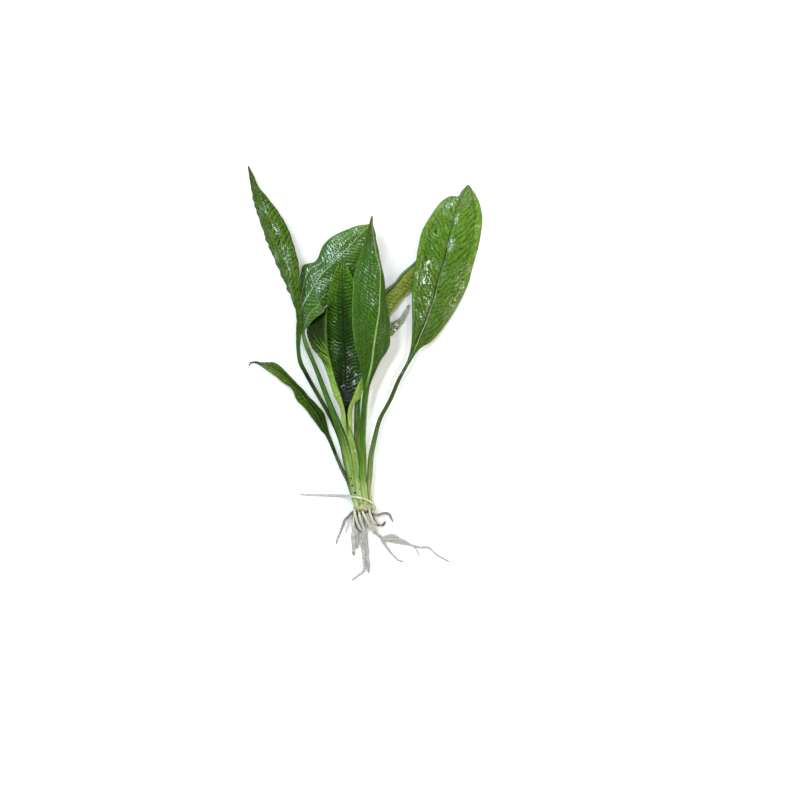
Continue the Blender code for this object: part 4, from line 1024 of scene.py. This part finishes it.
pale_root_skin = root_material("wet_pale_root_skin", "e2dec8", "adaba2", "9a9894")
aged_root_skin = root_material("wet_aged_root_skin", "726b60", "9a9892", "92908c")
smooth_root_skin = root_material("wet_smooth_root_skin", "bccb92", "b9b7ae", "b4b2b0", tip_at=(0.3, 0.5))
dark_root_skin = root_material("wet_brown_root_skin", "5c5042", "4a423a", "504a46")
ROOTS = {
    "root_left_thin": [
        (-5.8, -75.6, 4.4, 0.65), (-8.4, -78.0, 2.8, 0.7), (-10.8, -80.6, 1.4, 0.65),
        (-12.6, -85.0, 0.8, 0.6), (-14.4, -89.6, 0.6, 0.5), (-15.8, -94.0, 0.4, 0.35),
    ],
    "root_left_thick": [
        (-4.2, -75.6, 2.6, 1.1), (-5.6, -79.6, 1.6, 1.2), (-6.1, -85.2, 1.3, 1.25),
        (-6.3, -94.6, 1.1, 1.1), (-6.1, -100.6, 0.8, 0.75),
    ],
    "root_left_dark": [
        (-4.0, -75.6, 6.4, 0.5), (-5.4, -79.4, 5.4, 0.5), (-5.2, -82.8, 4.4, 0.5),
        (-4.0, -85.8, 3.8, 0.45), (-1.8, -87.6, 3.2, 0.4),
    ],
    "root_middle_hooked": [
        (-2.4, -75.6, 4.4, 0.9), (-2.6, -82.0, 2.4, 0.95), (-2.4, -88.0, 1.2, 0.95),
        (-1.6, -94.6, 1.0, 0.95), (-0.5, -102.4, 0.9, 0.85), (-0.7, -108.4, 0.8, 0.7),
        (-3.4, -111.2, 0.6, 0.55), (-7.6, -113.9, 0.5, 0.4),
    ],
    "root_middle_blunt": [
        (0.2, -75.6, 3.4, 0.9), (0.1, -83.0, 1.8, 0.95), (0.5, -90.0, 1.1, 0.95),
        (1.3, -98.0, 1.0, 0.95), (1.8, -106.0, 0.9, 0.85), (2.0, -110.0, 0.8, 0.7),
    ],
    "root_right_stem": [
        (0.6, -75.6, 7.0, 0.95), (1.2, -79.0, 6.0, 1.0), (2.0, -82.0, 4.8, 1.0), (3.6, -84.8, 3.2, 1.0),
        (5.8, -87.0, 1.8, 1.0), (8.0, -89.4, 1.0, 0.95), (9.3, -91.0, 0.9, 0.9),
    ],
    "root_right_lower_branch": [
        (8.8, -90.6, 0.9, 0.8), (10.0, -93.1, 0.8, 0.75), (12.1, -95.7, 0.7, 0.7),
        (14.3, -99.0, 0.6, 0.6), (17.0, -101.8, 0.5, 0.5), (21.4, -104.0, 0.4, 0.35),
    ],
    "root_right_upper_branch": [
        (9.0, -90.6, 0.9, 0.8), (10.9, -91.4, 0.8, 0.75), (15.4, -92.8, 0.7, 0.7),
        (20.4, -93.5, 0.7, 0.65), (25.4, -94.8, 0.6, 0.6), (30.4, -95.7, 0.6, 0.55),
        (34.4, -96.0, 0.5, 0.5), (39.0, -99.4, 0.5, 0.45), (46.2, -104.0, 0.4, 0.35),
    ],
    "root_right_short": [
        (2.4, -75.6, 7.8, 0.6), (3.4, -79.0, 7.0, 0.7), (4.4, -81.6, 6.0, 0.7), (6.0, -84.2, 4.8, 0.6),
    ],
    "root_right_loop": [
        (3.6, -75.6, 5.6, 0.65), (5.6, -78.2, 4.6, 0.65), (8.4, -77.6, 3.2, 0.65),
        (11.4, -77.0, 2.0, 0.65), (13.6, -77.8, 1.2, 0.6), (14.3, -80.0, 0.7, 0.55),
        (15.4, -82.2, 0.5, 0.4),
    ],
    "root_right_dark": [
        (3.2, -75.6, 3.2, 0.6), (4.6, -80.4, 1.6, 0.6), (6.6, -83.6, 0.8, 0.6),
        (9.4, -83.8, 0.7, 0.6), (11.4, -81.4, 0.6, 0.5),
    ],
    "root_over_crown": [
        (5.6, -75.0, 6.4, 0.6), (5.2, -72.8, 8.4, 0.6), (3.4, -70.9, 10.4, 0.6),
        (0.4, -69.2, 11.6, 0.6), (-3.6, -68.2, 11.4, 0.6), (-7.6, -67.6, 9.6, 0.6),
        (-10.4, -67.4, 6.0, 0.6), (-13.6, -67.3, 1.8, 0.6), (-18.0, -67.3, 0.6, 0.6),
        (-24.6, -67.2, 0.5, 0.55), (-31.0, -67.0, 0.5, 0.5), (-36.2, -66.6, 0.4, 0.4),
    ],
}
SKINS = {
    "root_left_dark": dark_root_skin, "root_right_dark": dark_root_skin, "root_left_thin": aged_root_skin,
    "root_right_loop": aged_root_skin, "root_over_crown": smooth_root_skin,
}
for seed, (node, points) in enumerate(ROOTS.items()):
    rings = root_rings(points, seed, sway=0.0 if node == "root_over_crown" else 0.07)
    tube_piece(
        node.replace("root_", "strand_"), [rings], SKINS.get(node, pale_root_skin),
        node,
    )


# ---- Rootlets and root hairs -----------------------------------------------------------------------------
# Thinner roots, too thin for solids of their own, that fill the gaps between the big ones below the crown,
# and the hair-like side roots that grow from them. Seeded at random along the roots above.

ROOTLETS = [
    [(-5.8, -74.6, 7.6, 0.7), (-5.2, -78.7, 6.4, 0.75), (-3.8, -83.1, 4.0, 0.75), (-1.6, -87.5, 2.6, 0.7),
     (-0.6, -95.0, 2.2, 0.5)],
    [(-1.9, -74.3, 10.2, 0.6), (-0.6, -77.6, 9.2, 0.65), (1.1, -80.9, 7.4, 0.65), (3.3, -85.3, 4.4, 0.65),
     (6.2, -88.7, 2.6, 0.5)],
    [(-3.4, -75.0, 9.0, 0.6), (-2.4, -80.3, 7.0, 0.65), (-0.6, -85.3, 4.4, 0.65), (0.4, -91.9, 2.6, 0.5)],
    [(1.9, -74.4, 9.6, 0.55), (2.9, -77.4, 8.8, 0.6), (4.6, -80.9, 7.2, 0.55), (6.8, -84.2, 5.4, 0.35)],
    [(-4.8, -75.2, 5.4, 0.6), (-4.6, -82.0, 3.4, 0.7), (-4.2, -90.0, 1.8, 0.7), (-4.2, -96.6, 0.9, 0.4)],
    [(-1.6, -75.6, 5.0, 0.7), (-1.2, -84.0, 3.0, 0.8), (0.2, -94.0, 1.8, 0.8), (0.7, -104.0, 1.0, 0.6)],
    [(1.0, -75.6, 5.0, 0.6), (0.8, -83.0, 3.0, 0.7), (0.2, -89.0, 2.4, 0.7), (1.0, -98.0, 1.8, 0.5)],
    [(3.6, -75.2, 6.4, 0.45), (5.6, -79.6, 4.0, 0.45), (7.4, -82.6, 2.6, 0.4), (9.6, -84.6, 1.4, 0.3)],
    [(-5.2, -75.4, 3.0, 0.4), (-7.6, -79.6, 2.0, 0.4), (-9.6, -84.0, 1.2, 0.35), (-10.6, -88.0, 0.6, 0.25)],
    [(9.0, -91.0, 1.4, 0.7), (12.6, -89.8, 1.2, 0.95), (16.0, -89.6, 1.1, 0.95), (20.4, -91.8, 0.9, 0.75),
     (25.3, -94.6, 0.7, 0.4)],
    [(9.4, -91.4, 1.6, 0.7), (13.4, -91.4, 1.6, 0.9), (17.4, -91.6, 1.3, 0.8), (22.4, -93.4, 0.9, 0.5)],
    [(26.4, -95.0, 0.6, 0.45), (28.2, -96.8, 0.5, 0.4), (29.2, -98.8, 0.4, 0.35), (30.0, -100.8, 0.3, 0.25)],
]
rootlets = [root_rings(points, seed, step=0.7) for seed, points in enumerate(ROOTLETS, start=100)]
tube_piece("rootlets", rootlets, pale_root_skin)

HAIRS_PER_ROOT = 3
draw = np.random.default_rng(5)
hairs = []
for node, points in ROOTS.items():
    if node == "root_over_crown":
        continue
    points = np.array(points)
    for _ in range(HAIRS_PER_ROOT):
        at = draw.uniform(1, len(points) - 1)
        index = min(int(at), len(points) - 2)
        start = points[index] + (points[index + 1] - points[index]) * (at - index)
        heading = math.atan2(*(points[index + 1] - points[index])[1::-1]) + draw.choice((-1, 1)) * 0.4
        hair = [(*start[:3], 0.1)]
        for _ in range(4):
            heading += draw.normal(0, 0.45)
            x, y, z, _ = hair[-1]
            step = draw.uniform(0.6, 1.3)
            hair.append((x + step * math.cos(heading), y + step * math.sin(heading), z * 0.6, 0.07))
        hairs.append(root_rings(hair, 0, step=0.6))
tube_piece("root_hairs", hairs, pale_root_skin)


# ---- Stage -----------------------------------------------------------------------------------------------
# A plain matt white light table, faintly lit from below, under soft studio light: large soft lights for the
# shape, and smaller ones for the sharp white glints on the wet leaves. The camera looks straight down.

PICTURE_CENTRE = (19.25, -14.85)
PICTURE_WIDTH = 440.0
CAMERA_HEIGHT = 2600.0
FLOOR_SIZE = 6000.0

bm = bmesh.new()
bmesh.ops.create_grid(bm, x_segments=1, y_segments=1, size=FLOOR_SIZE * MM / 2)
floor_mesh = bpy.data.meshes.new("table")
bm.to_mesh(floor_mesh)
bm.free()
floor = bpy.data.objects.new("table", floor_mesh)
bpy.context.scene.collection.objects.link(floor)
table_paint, tree, shader, _ = new_material("white_matt_table")
set_inputs(tree, shader, {
    "Base Color": linear("f6f6f5"),
    "Roughness": 0.9,
    "Specular IOR Level": 0.1,
    "Emission Color": linear("ffffff"),
    "Emission Strength": 0.18,
})
floor_mesh.materials.append(table_paint)


def area_light(name, towards, distance, width, depth, power, colour):
    """A rectangular light that shines on the plant. towards is where it stands, seen from the plant."""
    light = bpy.data.lights.new(name, "AREA")
    light.shape = "RECTANGLE"
    light.size = width
    light.size_y = depth
    light.energy = power
    light.color = linear(colour)[:3]
    obj = bpy.data.objects.new(name, light)
    away = Vector(towards).normalized()
    obj.location = away * distance
    obj.rotation_mode = "QUATERNION"
    obj.rotation_quaternion = away.to_track_quat("Z", "Y")
    bpy.context.scene.collection.objects.link(obj)


area_light("window", (-0.75, 0.6, 1.0), 1.7, 1.0, 0.8, 9.5, "b0daf2")
area_light("window_strip", (-0.7, 0.56, 1.0), 1.65, 0.8, 0.05, 6.0, "eef8ff")
area_light("soft_right", (1.0, -0.4, 0.55), 1.7, 0.8, 0.8, 1.3, "fff0d8")
area_light("low_strip_right", (1.0, -0.4, 0.6), 1.65, 0.8, 0.05, 4.2, "fff8d0")
area_light("strip_right", (0.85, -0.3, 0.95), 1.7, 0.8, 0.04, 3.6, "fffdf8")
area_light("tube_back", (-0.1, 0.25, 1.0), 1.8, 0.9, 0.06, 8.0, "f6fbff")
area_light("tube_left", (-0.3, 0.1, 1.0), 1.8, 0.7, 0.06, 6.5, "f6fbff")
area_light("tube_right", (0.3, -0.05, 1.0), 1.8, 0.7, 0.06, 6.0, "f6fbff")

world = bpy.data.worlds.new("studio")
bpy.context.scene.world = world
world.use_nodes = True
sky = world.node_tree
up = add_node(sky, "SeparateXYZ", (sky.nodes.new("ShaderNodeTexCoord").outputs["Generated"],), 2)
wall_to_ceiling = [(0.0, "fff4e8"), (0.35, "d8d0c8"), (0.7, "94908c"), (0.9, "3c3b3a")]
room = add_node(sky, "ValToRGB", (up,), stops=wall_to_ceiling)
set_inputs(sky, sky.nodes["Background"], {"Color": room, "Strength": 0.8})

camera_data = bpy.data.cameras.new("camera")
camera_data.sensor_width = 36.0
camera_data.lens = camera_data.sensor_width * CAMERA_HEIGHT / PICTURE_WIDTH
camera_data.clip_end = 20.0
camera = bpy.data.objects.new("camera", camera_data)
camera.location = (PICTURE_CENTRE[0] * MM, PICTURE_CENTRE[1] * MM, CAMERA_HEIGHT * MM)
bpy.context.scene.collection.objects.link(camera)
bpy.context.scene.camera = camera
bpy.context.scene.view_settings.view_transform = "Standard"
